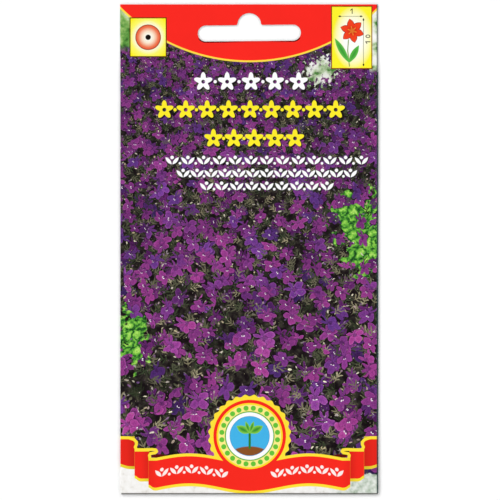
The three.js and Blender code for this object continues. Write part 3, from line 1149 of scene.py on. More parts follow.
@dataclass(frozen=True)
class Ribbon:
    """A plain printed banner across the foot of the front, folded twice at each end, with a white vine."""

    middle: float = -69.58
    half_width: float = 31.3
    half_height: float = 5.1
    edge: float = 0.9
    wave: float = 1.2
    wave_length: float = 38.0
    wave_start: float = 18.6
    wave_end: float = 10.2
    lift: float = 0.95
    lift_run: float = 2.4
    steps: tuple = ((35.6, 41.0, -63.1, 0.84, 5.4), (31.0, 35.6, -66.9, 0.95, 2.4))
    curl: tuple = ((40.6, -58.4), (37.6, -58.4), (35.8, -58.95), (35.0, -59.8), (35.05, -60.6),
                   (35.4, -61.3), (35.0, -62.1), (32.9, -62.15), (30.3, -62.05), (29.0, -62.2),
                   (28.75, -62.7), (29.2, -63.1), (30.6, -63.3), (31.0, -63.9), (30.8, -64.8))
    crease: tuple = ((30.9, -64.1), (25.6, -64.0), 1.0)
    vine_middle: float = 17.9
    vine_half: float = 9.6
    vine_radius: float = 2.1
    shade_run: float = 3.0
    fold_shade: float = 0.8
    end_shade: float = 0.9
    border: str = "ffe43a"
    cloth: str = "f92b20"

    def draw(self, pen: Pen, place: Socket, colour: Socket, vine: bpy.types.NodeTree) -> Socket:
        """Paints the banner: the folded ends, the curls of its edge, then the front of it.

        Args:
            pen: the pen of the print.
            place: the place on the packet's front, in millimetres.
            colour: the colour under the banner.
            vine: the node group of its row of leaves.

        Returns:
            The colour with the banner on it.
        """
        across, along, _ = pen.split(place)
        side = pen.unsigned(across)
        for start, end, level, shade, run in self.steps:
            rise = pen.minus(along, level)
            past = pen.most(pen.minus(start, side), pen.minus(side, end))
            tone = pen.fade(side, start, start + self.shade_run, self.fold_shade * shade, shade)
            colour = self.band(pen, colour, rise, past, pen.fade(side, end - run, end), tone)
        folded = pen.join(side, along)
        colour = pen.stamp(colour, "5e120c", pen.stroke(folded, *self.crease, leaf=True))
        strokes = [pen.stroke(folded, *ends, self.edge) for ends in zip(self.curl, self.curl[1:])]
        colour = pen.stamp(colour, self.border, pen.least(*strokes))

        run = pen.least(pen.minus(side, self.wave_start), self.wave_end)
        phase = pen.times(run, math.tau / self.wave_length)
        wave = pen.times(pen.math("COSINE", phase), self.wave)
        rise = pen.minus(pen.minus(along, self.middle), wave)
        past = pen.minus(side, self.half_width)
        colour = self.band(pen, colour, rise, past, pen.fade(past, -self.lift_run, 0.0),
                           pen.fade(past, -self.shade_run, 0.0, 1.0, self.end_shade))
        own = pen.seen_from(pen.join(side, rise), (self.vine_middle, 0), size=(self.vine_radius,) * 2)
        last = math.floor(self.vine_half / (Garland.close * self.vine_radius)) + 0.5
        row = pen.group(vine, Place=own, Pitch=Garland.close, Last=last)
        return pen.stamp(colour, "fff2ee", row.outputs["Distance"], 0.1)

    def band(self, pen: Pen, colour: Socket, rise: Socket, past: Socket, near_end: Socket,
             shade: Socket) -> Socket:
        """Paints one stretch of the banner, whose foot lifts towards its outer end.

        Args:
            pen: the pen of the print.
            colour: the colour under it.
            rise: how far a place is above the stretch's middle line.
            past: how far it is past the stretch's end.
            near_end: from 0 to 1 where the foot lifts.
            shade: how light the stretch is.

        Returns:
            The colour with the stretch on it.
        """
        lift = pen.times(near_end, near_end, self.lift)
        out = pen.minus(pen.most(rise, pen.minus(lift, rise)), self.half_height)
        colour = pen.stamp(colour, pen.dim(self.border, shade), pen.most(out, past))
        field = pen.most(pen.plus(out, self.edge), past)
        return pen.stamp(colour, pen.dim(self.cloth, shade), field, 0.16)


@dataclass(frozen=True)
class Seal:
    """A plain round printed seal: rings, a row of beads and a seedling under a clear sky."""

    middle: tuple[float, float] = (0.1, -57.9)
    radius: float = 12.6
    scallops: int = 28
    scallop: float = 0.3
    rings: tuple = ((-1.35, "f92b20"), (-2.35, "ffe02c"), (-2.9, "fff08c"), (-4.9, "5fb440"),
                    (-5.25, "ffffff"), (-6.4, "3c96cf"), (-6.55, "45b5ea"))
    beads: int = 24
    bead_ring: float = 8.7
    bead: float = 0.78
    soil: tuple = ((0.0, -7.6), (7.6, 4.4), 0.0)
    stem: tuple = ((0.0, -3.6), (0.0, 1.2), 0.7)
    leaves: tuple = (((0.0, 0.9), (4.1, 3.1), 2.3), ((0.0, 0.9), (-4.1, 3.1), 2.3),
                     ((0.0, 1.0), (1.3, 4.6), 1.2), ((0.0, 1.0), (-1.3, 4.6), 1.2))
    leaf_tones: tuple = ((0.0, "37902f"), (1.0, "86cf4c"))

    def draw_rim(self, pen: Pen, place: Socket, colour: Socket) -> Socket:
        """Paints the scalloped yellow rim, which the banner then covers at its foot.

        Args:
            pen: the pen of the print.
            place: the place on the packet's front, in millimetres.
            colour: the colour under the rim.

        Returns:
            The colour with the rim on it.
        """
        own = pen.seen_from(place, self.middle)
        across, along, _ = pen.split(own)
        turn = pen.math("ARCTAN2", along, across)
        ripple = pen.times(pen.math("COSINE", pen.times(turn, self.scallops)), self.scallop)
        return pen.stamp(colour, "ffe43a", pen.plus(pen.disc(own, (0, 0), self.radius), ripple))

    def draw(self, pen: Pen, place: Socket, colour: Socket) -> Socket:
        """Paints the seal inside its rim.

        Args:
            pen: the pen of the print.
            place: the place on the packet's front, in millimetres.
            colour: the colour under the seal.

        Returns:
            The colour with the seal on it.
        """
        own = pen.seen_from(place, self.middle)
        round_edge = pen.disc(own, (0, 0), self.radius)
        for inset, code in self.rings:
            colour = pen.stamp(colour, code, pen.minus(round_edge, inset))
        bead = pen.disc(pen.sector(own, self.beads, 0.0), (self.bead_ring, 0), self.bead)
        colour = pen.stamp(colour, "66c43c", bead)
        sky = pen.minus(round_edge, self.rings[-1][0])
        soil = pen.minus(pen.reach(own, *self.soil), 1.0)
        colour = pen.stamp(colour, "8a5226", pen.most(soil, sky))
        colour = pen.stamp(colour, "2f7d2c", pen.stroke(own, *self.stem))
        for start, end, width in self.leaves:
            leaf = pen.stroke(own, start, end, width, leaf=True)
            green = pen.ramp(pen.fade(leaf, -width / 2, 0.0), *self.leaf_tones)
            colour = pen.stamp(colour, green, leaf)
        return colour


@dataclass(frozen=True)
class PaperGrain:
    """The slight unevenness of coated paper: a broad mottle and fine fibres."""

    mottle: tuple[float, float] = (0.07, 3.0)
    fibre: tuple[float, float] = (2.6, 4.0)
    tones: tuple = (0.25, 0.75, 0.9, 0.93)
    dullness: float = 0.85
    gloss_share: float = 0.5
    fibre_rough: float = 0.16
    mottle_height: float = 0.6

    def tree(self) -> bpy.types.NodeTree:
        """Draws the unevenness as a node group.

        Returns:
            The group. It takes a place in millimetres and gives a tone, a roughness and a height.
        """
        tree, pen, takes, gives = new_group("paper grain", {"Place": "Vector", "Gloss": "Float"},
                                            {"Tone": "Float", "Roughness": "Float", "Height": "Float"})
        mottle = pen.cloud(takes["Place"], *self.mottle)
        fibre = pen.cloud(takes["Place"], *self.fibre)
        pen.feed(gives.inputs["Tone"], pen.fade(mottle, *self.tones))
        rough = pen.minus(self.dullness, pen.times(takes["Gloss"], self.gloss_share))
        uneven = pen.times(pen.minus(fibre, 0.5), self.fibre_rough)
        pen.feed(gives.inputs["Roughness"], pen.plus(rough, uneven))
        pen.feed(gives.inputs["Height"], pen.plus(fibre, pen.times(mottle, self.mottle_height)))
        return tree


class Finish:
    """A material of the packet, with its pen, its place in millimetres and its paper grain."""

    grain: bpy.types.NodeTree | None = None
    relief: float = 0.1

    def __init__(self, name: str, gloss: float, specular: float) -> None:
        """Starts the material.

        Args:
            name: the material's name.
            gloss: how glossy the surface is, from 0 to 1.
            specular: the strength of its mirror light, 0.5 for plain plastic.
        """
        self.material = bpy.data.materials.new(name)
        self.material.use_nodes = True
        self.pen = Pen(self.material.node_tree)
        self.surface = self.material.node_tree.nodes["Principled BSDF"]
        self.surface.inputs["Specular IOR Level"].default_value = specular
        coordinates = self.pen.node("TexCoord").outputs["Object"]
        self.solid_place = self.pen.vector("SCALE", coordinates, 1 / MM)
        self.place = self.pen.vector("MULTIPLY", self.solid_place, (1, 1, 0))
        if Finish.grain is None:
            Finish.grain = PaperGrain().tree()
        self.paper = self.pen.group(Finish.grain, Place=self.place, Gloss=gloss)

    def lay(self, colour: Value, bump: float = 0.06) -> bpy.types.Material:
        """Lays the colour on the surface, with the grain of the paper.

        Args:
            colour: the surface's colour.
            bump: the strength of the grain's relief.

        Returns:
            The finished material.
        """
        pen = self.pen
        toned = pen.dim(colour, self.paper.outputs["Tone"])
        relief = pen.node("Bump")
        relief.inputs["Strength"].default_value = bump
        relief.inputs["Distance"].default_value = self.relief * MM
        pen.feed(relief.inputs["Height"], self.paper.outputs["Height"])
        pen.feed(self.surface.inputs["Base Color"], toned)
        pen.feed(self.surface.inputs["Roughness"], self.paper.outputs["Roughness"])
        pen.feed(self.surface.inputs["Normal"], relief.outputs[0])
        return self.material


@dataclass(frozen=True)
class FrontPrint:
    """The packet's printed front. Places and sizes are in millimetres from the packet's middle."""

    garlands: tuple[Garland, ...] = (
        Garland((0.5, 52.0), 18.5, 3.0),
        Garland((0.2, 43.3), 29.9, 3.0, code="ffee2e"),
        Garland((1.5, 34.4), 15.8, 3.0, code="ffee2e"),
        Garland((5.4, 27.4), 31.8, 2.1, Motif.LEAVES, shadow=(0.25, -0.25)),
        Garland((5.4, 23.4), 28.1, 2.1, Motif.LEAVES, shadow=(0.25, -0.25)),
        Garland((5.4, 19.4), 21.0, 2.1, Motif.LEAVES, shadow=(0.25, -0.25)))
    half: tuple[float, float] = (40.0, 76.0)
    # Widths and strengths of the painted shade along the right and bottom folds.
    right_edge_shade: tuple[float, float, float] = (0.6, 0.4, 0.9)
    foot_edge_shade: tuple[float, float, float] = (0.35, 0.55, 0.85)

    def material(self) -> bpy.types.Material:
        """Makes the coated, printed paper.

        Returns:
            The material.
        """
        finish = Finish("front print", gloss=1.0, specular=0.06)
        pen, place = finish.pen, finish.place
        colour = Meadow().draw(pen, place)
        for layer in (Distance(), Header(), SunSign(), SizeSign()):
            colour = layer.draw(pen, pen.after(place, colour), colour)
        trees = {motif: Garland.tree(motif) for motif in Motif}
        for garland in self.garlands:
            colour = garland.draw(pen, pen.after(place, colour), colour, trees)
        colour = Seal().draw_rim(pen, pen.after(place, colour), colour)
        colour = Ribbon().draw(pen, pen.after(place, colour), colour, trees[Motif.LEAVES])
        colour = Seal().draw(pen, pen.after(place, colour), colour)
        across, along, _ = pen.split(place)
        # Painted shade: a dark teal band along the right fold and a dark grey band along the bottom fold
        # stand in for the shade where the paper turns under.
        (outer, inner, strength), edge = self.right_edge_shade, self.half[0]
        colour = pen.paint(colour, "2c4142", pen.fade(across, edge - outer, edge - inner, 0.0, strength))
        (outer, inner, strength), edge = self.foot_edge_shade, -self.half[1]
        colour = pen.paint(colour, "55524f", pen.fade(along, edge + outer, edge + inner, strength, 0.0))
        return finish.lay(colour)


@dataclass(frozen=True)
class BackPrint:
    """The packet's back: a plain generic design with no words. Sizes are in millimetres."""

    header_foot: float = 60.0
    frame_half: tuple[float, float] = (36.5, 62.0)
    frame_middle: tuple[float, float] = (0.0, -6.0)
    frame_line: float = 0.5
    rule_pitch: float = 5.0
    rules: tuple[float, float] = (-2.0, 38.0)
    months: int = 12
    calendar_half: tuple[float, float] = (33.0, 9.0)
    calendar_middle: tuple[float, float] = (0.0, -40.0)
    bars: tuple = ((-33.0, -16.5, -34.0, "6fb544"), (-16.5, -5.5, -40.0, "f2c230"),
                   (-5.5, 22.0, -46.0, "8a3f9c"))
    dots: tuple = ((-24.0, "fbc02d"), (0.0, "43a6dc"), (24.0, "7d5a34"))
    tint: tuple = ((0.0, "e9f0d8"), (1.0, "fbf8ec"))
    tint_span: tuple[float, float] = (-70.0, 60.0)
    header_line: float = 0.8
    dot_level: float = -20.5
    dot_radius: float = 4.2
    thin_line: float = 0.3
    rule_width: float = 0.24
    rule_half: float = 30.0
    bar_half: float = 2.0
    grid_line: float = 0.2
    panel_line: float = 0.35

    def material(self) -> bpy.types.Material:
        """Makes the back's coated, printed paper.

        Returns:
            The material.
        """
        finish = Finish("back print", gloss=0.9, specular=0.3)
        pen, place = finish.pen, finish.place
        _, along, _ = pen.split(place)
        colour = pen.ramp(pen.fade(along, *self.tint_span), *self.tint)
        colour = pen.paint(colour, "fb2a22", pen.fade(along, self.header_foot, self.header_foot + 0.1))
        foot = pen.outline(pen.minus(along, self.header_foot), self.header_line)
        colour = pen.stamp(colour, "ffd84e", foot)
        frame = pen.box(place, self.frame_middle, self.frame_half)
        colour = pen.stamp(colour, "5fa341", pen.outline(frame, self.frame_line))
        colour = self.draw_rules(pen, place, colour)
        colour = self.draw_calendar(pen, place, colour)
        for across, code in self.dots:
            dot = pen.disc(place, (across, self.dot_level), self.dot_radius)
            colour = pen.stamp(colour, code, dot)
            colour = pen.stamp(colour, "6d6d5c", pen.outline(dot, self.thin_line))
        return finish.lay(colour)

    def draw_rules(self, pen: Pen, place: Socket, colour: Socket) -> Socket:
        """Paints the faint ruled lines for notes.

        Args:
            pen: the pen of the print.
            place: the place on the packet's back, in millimetres.
            colour: the colour under the lines.

        Returns:
            The colour with the lines on it.
        """
        _, along, _ = pen.split(place)
        phase = pen.minus(pen.math("FLOORED_MODULO", along, self.rule_pitch), self.rule_pitch / 2)
        line = pen.outline(phase, self.rule_width)
        low, high = self.rules
        area = pen.box(place, (0.0, (low + high) / 2), (self.rule_half, (high - low) / 2))
        return pen.stamp(colour, "a9b592", pen.most(line, area))

    def draw_calendar(self, pen: Pen, place: Socket, colour: Socket) -> Socket:
        """Paints the sowing calendar: twelve columns and three coloured bars.

        Args:
            pen: the pen of the print.
            place: the place on the packet's back, in millimetres.
            colour: the colour under the calendar.

        Returns:
            The colour with the calendar on it.
        """
        panel = pen.box(place, self.calendar_middle, self.calendar_half)
        colour = pen.stamp(colour, "ffffff", panel)
        for start, end, level, code in self.bars:
            bar = pen.box(place, ((start + end) / 2, level), ((end - start) / 2, self.bar_half))
            colour = pen.stamp(colour, code, bar)
        across, along, _ = pen.split(pen.seen_from(place, self.calendar_middle))
        month = 2 * self.calendar_half[0] / self.months
        columns = pen.minus(pen.math("PINGPONG", across, month / 2), self.grid_line / 2)
        rows = pen.outline(pen.minus(pen.unsigned(along), self.calendar_half[1] / 3), self.grid_line)
        grid = pen.most(pen.least(columns, rows), panel)
        colour = pen.stamp(colour, "8c9a78", grid)
        return pen.stamp(colour, "5f7a45", pen.outline(panel, self.panel_line))


@dataclass(frozen=True)
class BarePaper:
    """The paper's unprinted inside: dull white with faint fibres."""

    tones: tuple = ((0.3, "d9d5ca"), (0.5, "ece9e0"), (0.7, "f5f3ec"))

    def material(self) -> bpy.types.Material:
        """Makes the bare paper.

        Returns:
            The material.
        """
        finish = Finish("bare paper", gloss=0.1, specular=0.3)
        fibre = finish.pen.cloud(finish.place, 0.9, 5.0)
        colour = finish.pen.ramp(fibre, *self.tones)
        return finish.lay(colour, bump=0.15)


@dataclass(frozen=True)
class CutEdge:
    """The sheet's cut edges: a grey-brown that is partly the real grey of cut fibre and partly painted
    shade, so that the edges look shaded.
    """

    tones: tuple = ((0.3, "6e6660"), (0.7, "a29a92"))

    def material(self) -> bpy.types.Material:
        """Makes the cut edge.

        Returns:
            The material.
        """
        finish = Finish("cut edge", gloss=0.05, specular=0.2)
        # The dark tones are partly painted shade: the cut edges are kept dark as though in shade.
        fibre = finish.pen.cloud(finish.place, 2.2, 4.0)
        return finish.lay(finish.pen.ramp(fibre, *self.tones), bump=0.1)


@dataclass(frozen=True)
class DriedGlue:
    """Paper glue that has dried to a cream, slightly wavy film with small bubbles."""

    tones: tuple = ((0.3, "cfc49c"), (0.5, "e2dab8"), (0.7, "efe9d2"))

    def material(self) -> bpy.types.Material:
        """Makes the glue.

        Returns:
            The material.
        """
        finish = Finish("dried glue", gloss=0.95, specular=0.5)
        pen = finish.pen
        thick = pen.cloud(finish.place, 0.35, 3.0)
        colour = pen.ramp(thick, *self.tones)
        bubbles = pen.node("TexVoronoi")
        pen.feed(bubbles.inputs["Vector"], finish.place)
        bubbles.inputs["Scale"].default_value = 0.8
        bubble = pen.fade(bubbles.outputs["Distance"], 0.1, 0.22, 0.8, 0.0)
        return finish.lay(pen.paint(colour, "f6f2e2", bubble), bump=0.3)


@dataclass(frozen=True)
class GlazedPaper:
    """The thin glazed paper of the inner sachet: white, faintly clouded, with a satin gloss."""

    tones: tuple = ((0.3, "dedcd2"), (0.5, "eeece5"), (0.7, "fbfaf6"))

    def material(self) -> bpy.types.Material:
        """Makes the glazed paper.

        Returns:
            The material.
        """
        finish = Finish("glazed paper", gloss=0.85, specular=0.45)
        pen = finish.pen
        cloudy = pen.cloud(finish.place, 0.5, 5.0)
        colour = pen.ramp(cloudy, *self.tones)
        return finish.lay(colour, bump=0.1)


@dataclass(frozen=True)
class SeedCoat:
    """The dull brown coat of the seed, a little different from seed to seed."""

    tones: tuple = ((0.0, "3a2112"), (0.4, "5e3819"), (0.75, "7f5228"), (1.0, "9a6b3a"))

    def material(self) -> bpy.types.Material:
        """Makes the seed's coat.

        Returns:
            The material.
        """
        finish = Finish("seed coat", gloss=0.35, specular=0.35)
        pen = finish.pen
        grains = pen.node("TexVoronoi")
        pen.feed(grains.inputs["Vector"], finish.solid_place)
        grains.inputs["Scale"].default_value = 2.4
        red, _, _ = pen.split(grains.outputs["Color"])
        colour = pen.ramp(red, *self.tones)
        return finish.lay(colour, bump=0.4)


def take(piece: bpy.types.Object) -> None:
    """Selects one piece alone, so that operators act on nothing else."""
    bpy.ops.object.select_all(action="DESELECT")
    piece.select_set(True)
    bpy.context.view_layer.objects.active = piece


def finish_with(piece: bpy.types.Object, kind: str, **settings: object) -> None:
    """Gives a piece a modifier and applies it.

    Args:
        piece: the piece.
        kind: the modifier's type.
        settings: the modifier's properties.
    """
    take(piece)
    made = piece.modifiers.new(kind.lower(), kind)
    for name, value in settings.items():
        setattr(made, name, value)
    bpy.ops.object.modifier_apply(modifier=made.name)


@contextmanager
def edited(piece: bpy.types.Object, pick: str) -> Iterator[bmesh.types.BMesh]:
    """Opens a piece in edit mode with nothing selected.

    Args:
        piece: the piece.
        pick: what is selected there: VERT, EDGE or FACE.

    Yields:
        The mesh to select in.
    """
    take(piece)
    bpy.ops.object.mode_set(mode="EDIT")
    bpy.ops.mesh.select_mode(type=pick)
    bpy.ops.mesh.select_all(action="DESELECT")
    mesh = bmesh.from_edit_mesh(piece.data)
    yield mesh
    bpy.ops.object.mode_set(mode="OBJECT")


def spread(start: float, end: float, step: float) -> list[float]:
    """Even places from one value to another, both included, at most a step apart."""
    count = max(1, math.ceil(abs(end - start) / step - 1e-6))
    return [start + (end - start) * i / count for i in range(count + 1)]


def smooth_step(value: float, start: float, end: float) -> float:
    """0 at the start, 1 at the end and a smooth slope between them."""
    share = min(max((value - start) / (end - start), 0.0), 1.0)
    return share * share * (3 - 2 * share)


def sheet_of(name: str, columns: list[float], rows: list[float]) -> bpy.types.Object:
    """Adds a flat grid and moves its lines to the given places.

    Args:
        name: the piece's name.
        columns: the places of its lines across, in millimetres.
        rows: the places of its lines along.

    Returns:
        The sheet.
    """
    bpy.ops.object.select_all(action="DESELECT")
    across, along = len(columns) - 1, len(rows) - 1
    bpy.ops.mesh.primitive_grid_add(x_subdivisions=across, y_subdivisions=along, size=1)
    sheet = bpy.context.object
    sheet.name = sheet.data.name = name
    for vertex in sheet.data.vertices:
        vertex.co.x = columns[round((vertex.co.x + 0.5) * across)] * MM
        vertex.co.y = rows[round((vertex.co.y + 0.5) * along)] * MM
    return sheet


def hand_over(piece: bpy.types.Object, node: str, finishes: list[bpy.types.Material]) -> None:
    """Dresses a piece, lets it ride and stand for its CAD node, and reports it.

    Args:
        piece: the piece.
        node: the CAD node that it stands for.
        finishes: its materials.
    """
    for finish in finishes:
        piece.data.materials.append(finish)
    take(piece)
    bpy.ops.object.shade_smooth_by_angle(angle=SMOOTH_ANGLE)
    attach(piece, BODY)
    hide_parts(node)
    log.info("%s: %d faces, in place of %s", piece.name, len(piece.data.polygons), node)


@dataclass
class SlotPunch:
    """The die that punches the hang slot through the closed header. Sizes are in millimetres."""

    width: float = 32.0
    height: float = 5.0
    hump: float = 3.7
    fillet: float = 0.6
    middle: float = 67.1
    tilt: float = 0.6
    depth: float = 4.0
    sides: int = 64
    fillet_segments: int = 6

    def build(self) -> bpy.types.Object:
        """Models the die: a bar with round ends and a round hump, softened where they meet.

        Returns:
            The die, at the slot's place.
        """
        bpy.ops.object.select_all(action="DESELECT")
        bpy.ops.mesh.primitive_cube_add(size=1)
        bar = bpy.context.object
        bar.name = "slot_die"
        bar.scale = (self.width * MM, self.height * MM, self.depth * MM)
        bpy.ops.object.transform_apply(location=True, rotation=True, scale=True)
        self.round_edges(bar, lambda x, y: True, self.height / 2 * 0.999, self.sides // 4)
        bpy.ops.object.select_all(action="DESELECT")
        bpy.ops.mesh.primitive_cylinder_add(vertices=self.sides, radius=self.hump * MM,
                                            depth=self.depth * MM, location=(0, self.height / 2 * MM, 0))
        hump = bpy.context.object
        finish_with(bar, "BOOLEAN", operation="UNION", object=hump, solver="EXACT")
        bpy.data.objects.remove(hump)
        self.round_edges(bar, lambda x, y: abs(abs(x) - self.hump) < 0.1 and abs(y - self.height / 2) < 0.1,
                         self.fillet, self.fillet_segments)
        bar.rotation_euler.z = math.radians(self.tilt)
        bar.location.y = self.middle * MM
        take(bar)
        bpy.ops.object.transform_apply(location=True, rotation=True, scale=True)
        return bar

    @staticmethod
    def round_edges(piece: bpy.types.Object, chosen: Callable[[float, float], bool], radius: float,
                    segments: int) -> None:
        """Rounds the upright edges at some places.

        Args:
            piece: the piece.
            chosen: says whether the edge at a place, in millimetres, is rounded.
            radius: the radius, in millimetres.
            segments: how many faces make the round.
        """
        with edited(piece, "EDGE") as mesh:
            for edge in mesh.edges:
                low, high = (v.co / MM for v in edge.verts)
                upright = (low - high).xy.length < 1e-4
                edge.select_set(upright and chosen(low.x, low.y))
            bpy.ops.mesh.bevel(offset=radius * MM, segments=segments, affect="EDGES")


@dataclass
class Envelope:
    """The folded sheet: front, back, side flap, bottom flap and punched header. Millimetres.

    It is cut as one flat blank and folded, as on the packet maker's table. A flat place is s across
    and t along, with the front where it ends up, so only what lies past a fold moves.
    """

    paper: float = 0.15
    glue: float = 0.05
    fold_gap: float = 0.3
    bulge: float = 1.3
    side_flap: float = 12.0
    side_flap_end: float = 55.0
    bottom_flap: float = 12.0
    taper: float = 2.5
    back_setback: float = 0.4
    flap_step: tuple[float, float] = (-61.0, -63.0)
    front_step: tuple[float, float] = (-45.0, -75.0)
    header_ramp: tuple[float, float] = (54.0, 62.0)
    pouch: tuple[float, float] = (-61.0, 56.0)
    cell: float = 1.0
    back_cell: float = 2.0
    fold_cell: float = 0.12
    ripple: float = 0.07
    ripple_length: float = 17.0
    dimple: float = 0.02
    dimple_length: float = 5.0
    inner_share: float = 0.07
    map_margin: float = 0.003
    cut_edge: int = 4
    slot_reach: float = 20.0
    edge_spot: tuple[float, float] = (0.3, 0.03)
    spot_radius: float = 0.01
    thinnest: float = 1e-5

    def __post_init__(self) -> None:
        """Works out the folds and the blank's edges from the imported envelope's box."""
        low, high = (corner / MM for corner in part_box("envelope"))
        front_top = 2 * self.paper + self.fold_gap
        flap_under = self.paper + self.glue
        self.levels = {"back": self.paper / 2, "flap": flap_under + self.paper / 2,
                       "front": front_top - self.paper / 2}
        self.left_fold = (self.levels["front"] - self.levels["back"]) / 2
        self.right_fold = (self.levels["front"] - self.levels["flap"]) / 2
        self.bottom_fold = (self.levels["front"] + flap_under - self.levels["back"]) / 2
        half = self.paper / 2
        self.front = (low.x + self.left_fold + half, high.x - self.right_fold - half)
        self.foot = low.y + self.bottom_fold + half
        self.top = high.y
        back_width = high.x - self.back_setback - self.front[0]
        flap_width = self.front[1] - (high.x - self.side_flap)
        flap_length = low.y + self.bottom_flap - self.foot
        self.back_edge = self.front[0] - math.pi * self.left_fold - back_width
        self.flap_edge = self.front[1] + math.pi * self.right_fold + flap_width
        self.flap_start = self.foot - math.pi * self.bottom_fold
        self.blank_foot = self.flap_start - flap_length

    def build(self) -> bpy.types.Object:
        """Cuts, maps, folds, thickens and punches the sheet.

        Returns:
            The envelope.
        """
        left_start = self.front[0] - math.pi * self.left_fold
        right_start = self.front[1] + math.pi * self.right_fold
        columns = self.join(spread(self.back_edge, left_start, self.back_cell),
                            spread(left_start, self.front[0], self.fold_cell),
                            spread(*self.front, self.cell),
                            spread(self.front[1], right_start, self.fold_cell / 2),
                            spread(right_start, self.flap_edge, self.back_cell))
        rows = self.join(spread(self.blank_foot, self.flap_start, self.back_cell),
                         spread(self.flap_start, self.foot, self.fold_cell),
                         spread(self.foot, self.flap_step[1], self.cell),
                         spread(*reversed(self.flap_step), self.cell / 2),
                         spread(self.flap_step[0], self.side_flap_end, self.cell),
                         spread(self.side_flap_end, self.top, self.cell))
        sheet = sheet_of("paper_envelope", columns, rows)
        self.cut_out(sheet)
        self.lay_out_map(sheet)
        for vertex in sheet.data.vertices:
            vertex.co = self.fold(vertex.co.x / MM, vertex.co.y / MM) * MM
        finish_with(sheet, "SOLIDIFY", thickness=self.paper * MM, offset=0.0, use_even_offset=True,
                    material_offset=2, material_offset_rim=2)
        die = SlotPunch().build()
        finish_with(sheet, "BOOLEAN", operation="DIFFERENCE", object=die, solver="EXACT")
        bpy.data.objects.remove(die)
        self.map_bare_paper(sheet)
        return sheet

    @staticmethod
    def join(*runs: list[float]) -> list[float]:
        """Puts runs of places end to end, each shared end once."""
        return runs[0] + [place for run in runs[1:] for place in run[1:]]

    def cut_out(self, sheet: bpy.types.Object) -> None:
        """Cuts the blank's outline out of the flat sheet and marks what is printed as the back.

        Args:
            sheet: the flat sheet.
        """
        with edited(sheet, "FACE") as mesh:
            for face in mesh.faces:
                s, t, _ = face.calc_center_median() / MM
                on_front = self.front[0] < s < self.front[1]
                past_top = s > self.front[1] and t > self.side_flap_end
                face.select_set(past_top or (t < self.foot and not on_front))
                left_side = s < self.front[0] - math.pi * self.left_fold
                right_side = s > self.front[1] + math.pi * self.right_fold
                face.material_index = int(left_side or right_side or t < self.flap_start)
            bmesh.update_edit_mesh(sheet.data)
            bpy.ops.mesh.delete(type="FACE")

    def lay_out_map(self, sheet: bpy.types.Object) -> None:
        """Tapers the bottom flap and makes the flat blank the piece's own map.

        Args:
            sheet: the flat sheet.
        """
        length = self.flap_start - self.blank_foot
        for vertex in sheet.data.vertices:
            past = max(self.flap_start - vertex.co.y / MM, 0.0) / length
            vertex.co.x *= 1 - past * self.taper / self.front[1]
        self.size = self.flap_edge - self.back_edge
        layer = sheet.data.uv_layers[0]
        layer.name = "OFBake"
        for loop, spot in zip(sheet.data.loops, layer.data):
            place = sheet.data.vertices[loop.vertex_index].co / MM
            spot.uv = ((place.x - self.back_edge) / self.size, (place.y - self.blank_foot) / self.size)

    @staticmethod
    def wrap(past: float, radius: float) -> tuple[float, float]:
        """Where paper lies once it has passed the start of a fold.

        Args:
            past: how far past the start it is, along the paper.
            radius: the fold's radius.

        Returns:
            How far out from the start it is, and how high above the fold's middle.
        """
        if past < math.pi * radius:
            return radius * math.sin(past / radius), radius * math.cos(past / radius)
        return math.pi * radius - past, -radius

    def fold(self, s: float, t: float) -> Vector:
        """Folds one place of the flat blank.

        Args:
            s: the flat place across.
            t: the flat place along.

        Returns:
            Where the place lies on the closed packet.
        """
        if t < self.foot:
            out, rise = self.wrap(self.foot - t, self.bottom_fold)
            return Vector((s, self.foot - out, self.levels["back"] + self.bottom_fold + rise))
        x, z = s, self.levels["front"]
        if s < self.front[0]:
            out, rise = self.wrap(self.front[0] - s, self.left_fold)
            x, z = self.front[0] - out, self.levels["back"] + self.left_fold + rise
        elif s > self.front[1]:
            out, rise = self.wrap(s - self.front[1], self.right_fold)
            x, z = self.front[1] + out, self.levels["flap"] + self.right_fold + rise
        return Vector((x, t, z + self.lift(x, t, z)))

    def lift(self, x: float, y: float, z: float) -> float:
        """How far the closed packet's shape lifts a sheet from its flat level.

        Args:
            x: the place across.
            y: the place along.
            z: the sheet's flat level.

        Returns:
            The lift over the bottom flap and the sachet, less the drop to the glued header.
        """
        front = min(max((z - self.paper) / self.fold_gap, 0.0), 1.0)
        step = smooth_step(y, *self.flap_step) * (1 - front) + smooth_step(y, *self.front_step) * front
        header = (self.fold_gap - self.glue) * smooth_step(y, *self.header_ramp)
        middle = sum(self.pouch) / 2
        across = max(1 - (x / self.front[1]) ** 2, 0.0)
        along = max(1 - ((y - middle) / (self.pouch[1] - middle)) ** 2, 0.0)
        swell = self.bulge * across * along
        slack = min(across * 6, 1.0) * (1 - smooth_step(y, *self.header_ramp))
        spot = Vector((x, y, 0.0))
        uneven = (self.ripple * noise.noise(spot / self.ripple_length)
                  + self.dimple * noise.noise(spot / self.dimple_length)) * slack
        return (self.paper + self.glue) * step + (front == 1) * (swell + uneven) - front * header

    def map_bare_paper(self, sheet: bpy.types.Object) -> None:
        """Marks the cut edges and gives them and the bare inside their own corner of the map.

        Args:
            sheet: the finished sheet.
        """
        layer = sheet.data.uv_layers["OFBake"].data
        for face in sheet.data.polygons:
            spots = [layer[i] for i in face.loop_indices]
            widths = [max(s.uv[k] for s in spots) - min(s.uv[k] for s in spots) for k in (0, 1)]
            in_header = face.center.y / MM > self.pouch[1]
            upright = abs(face.normal.z) < 0.5
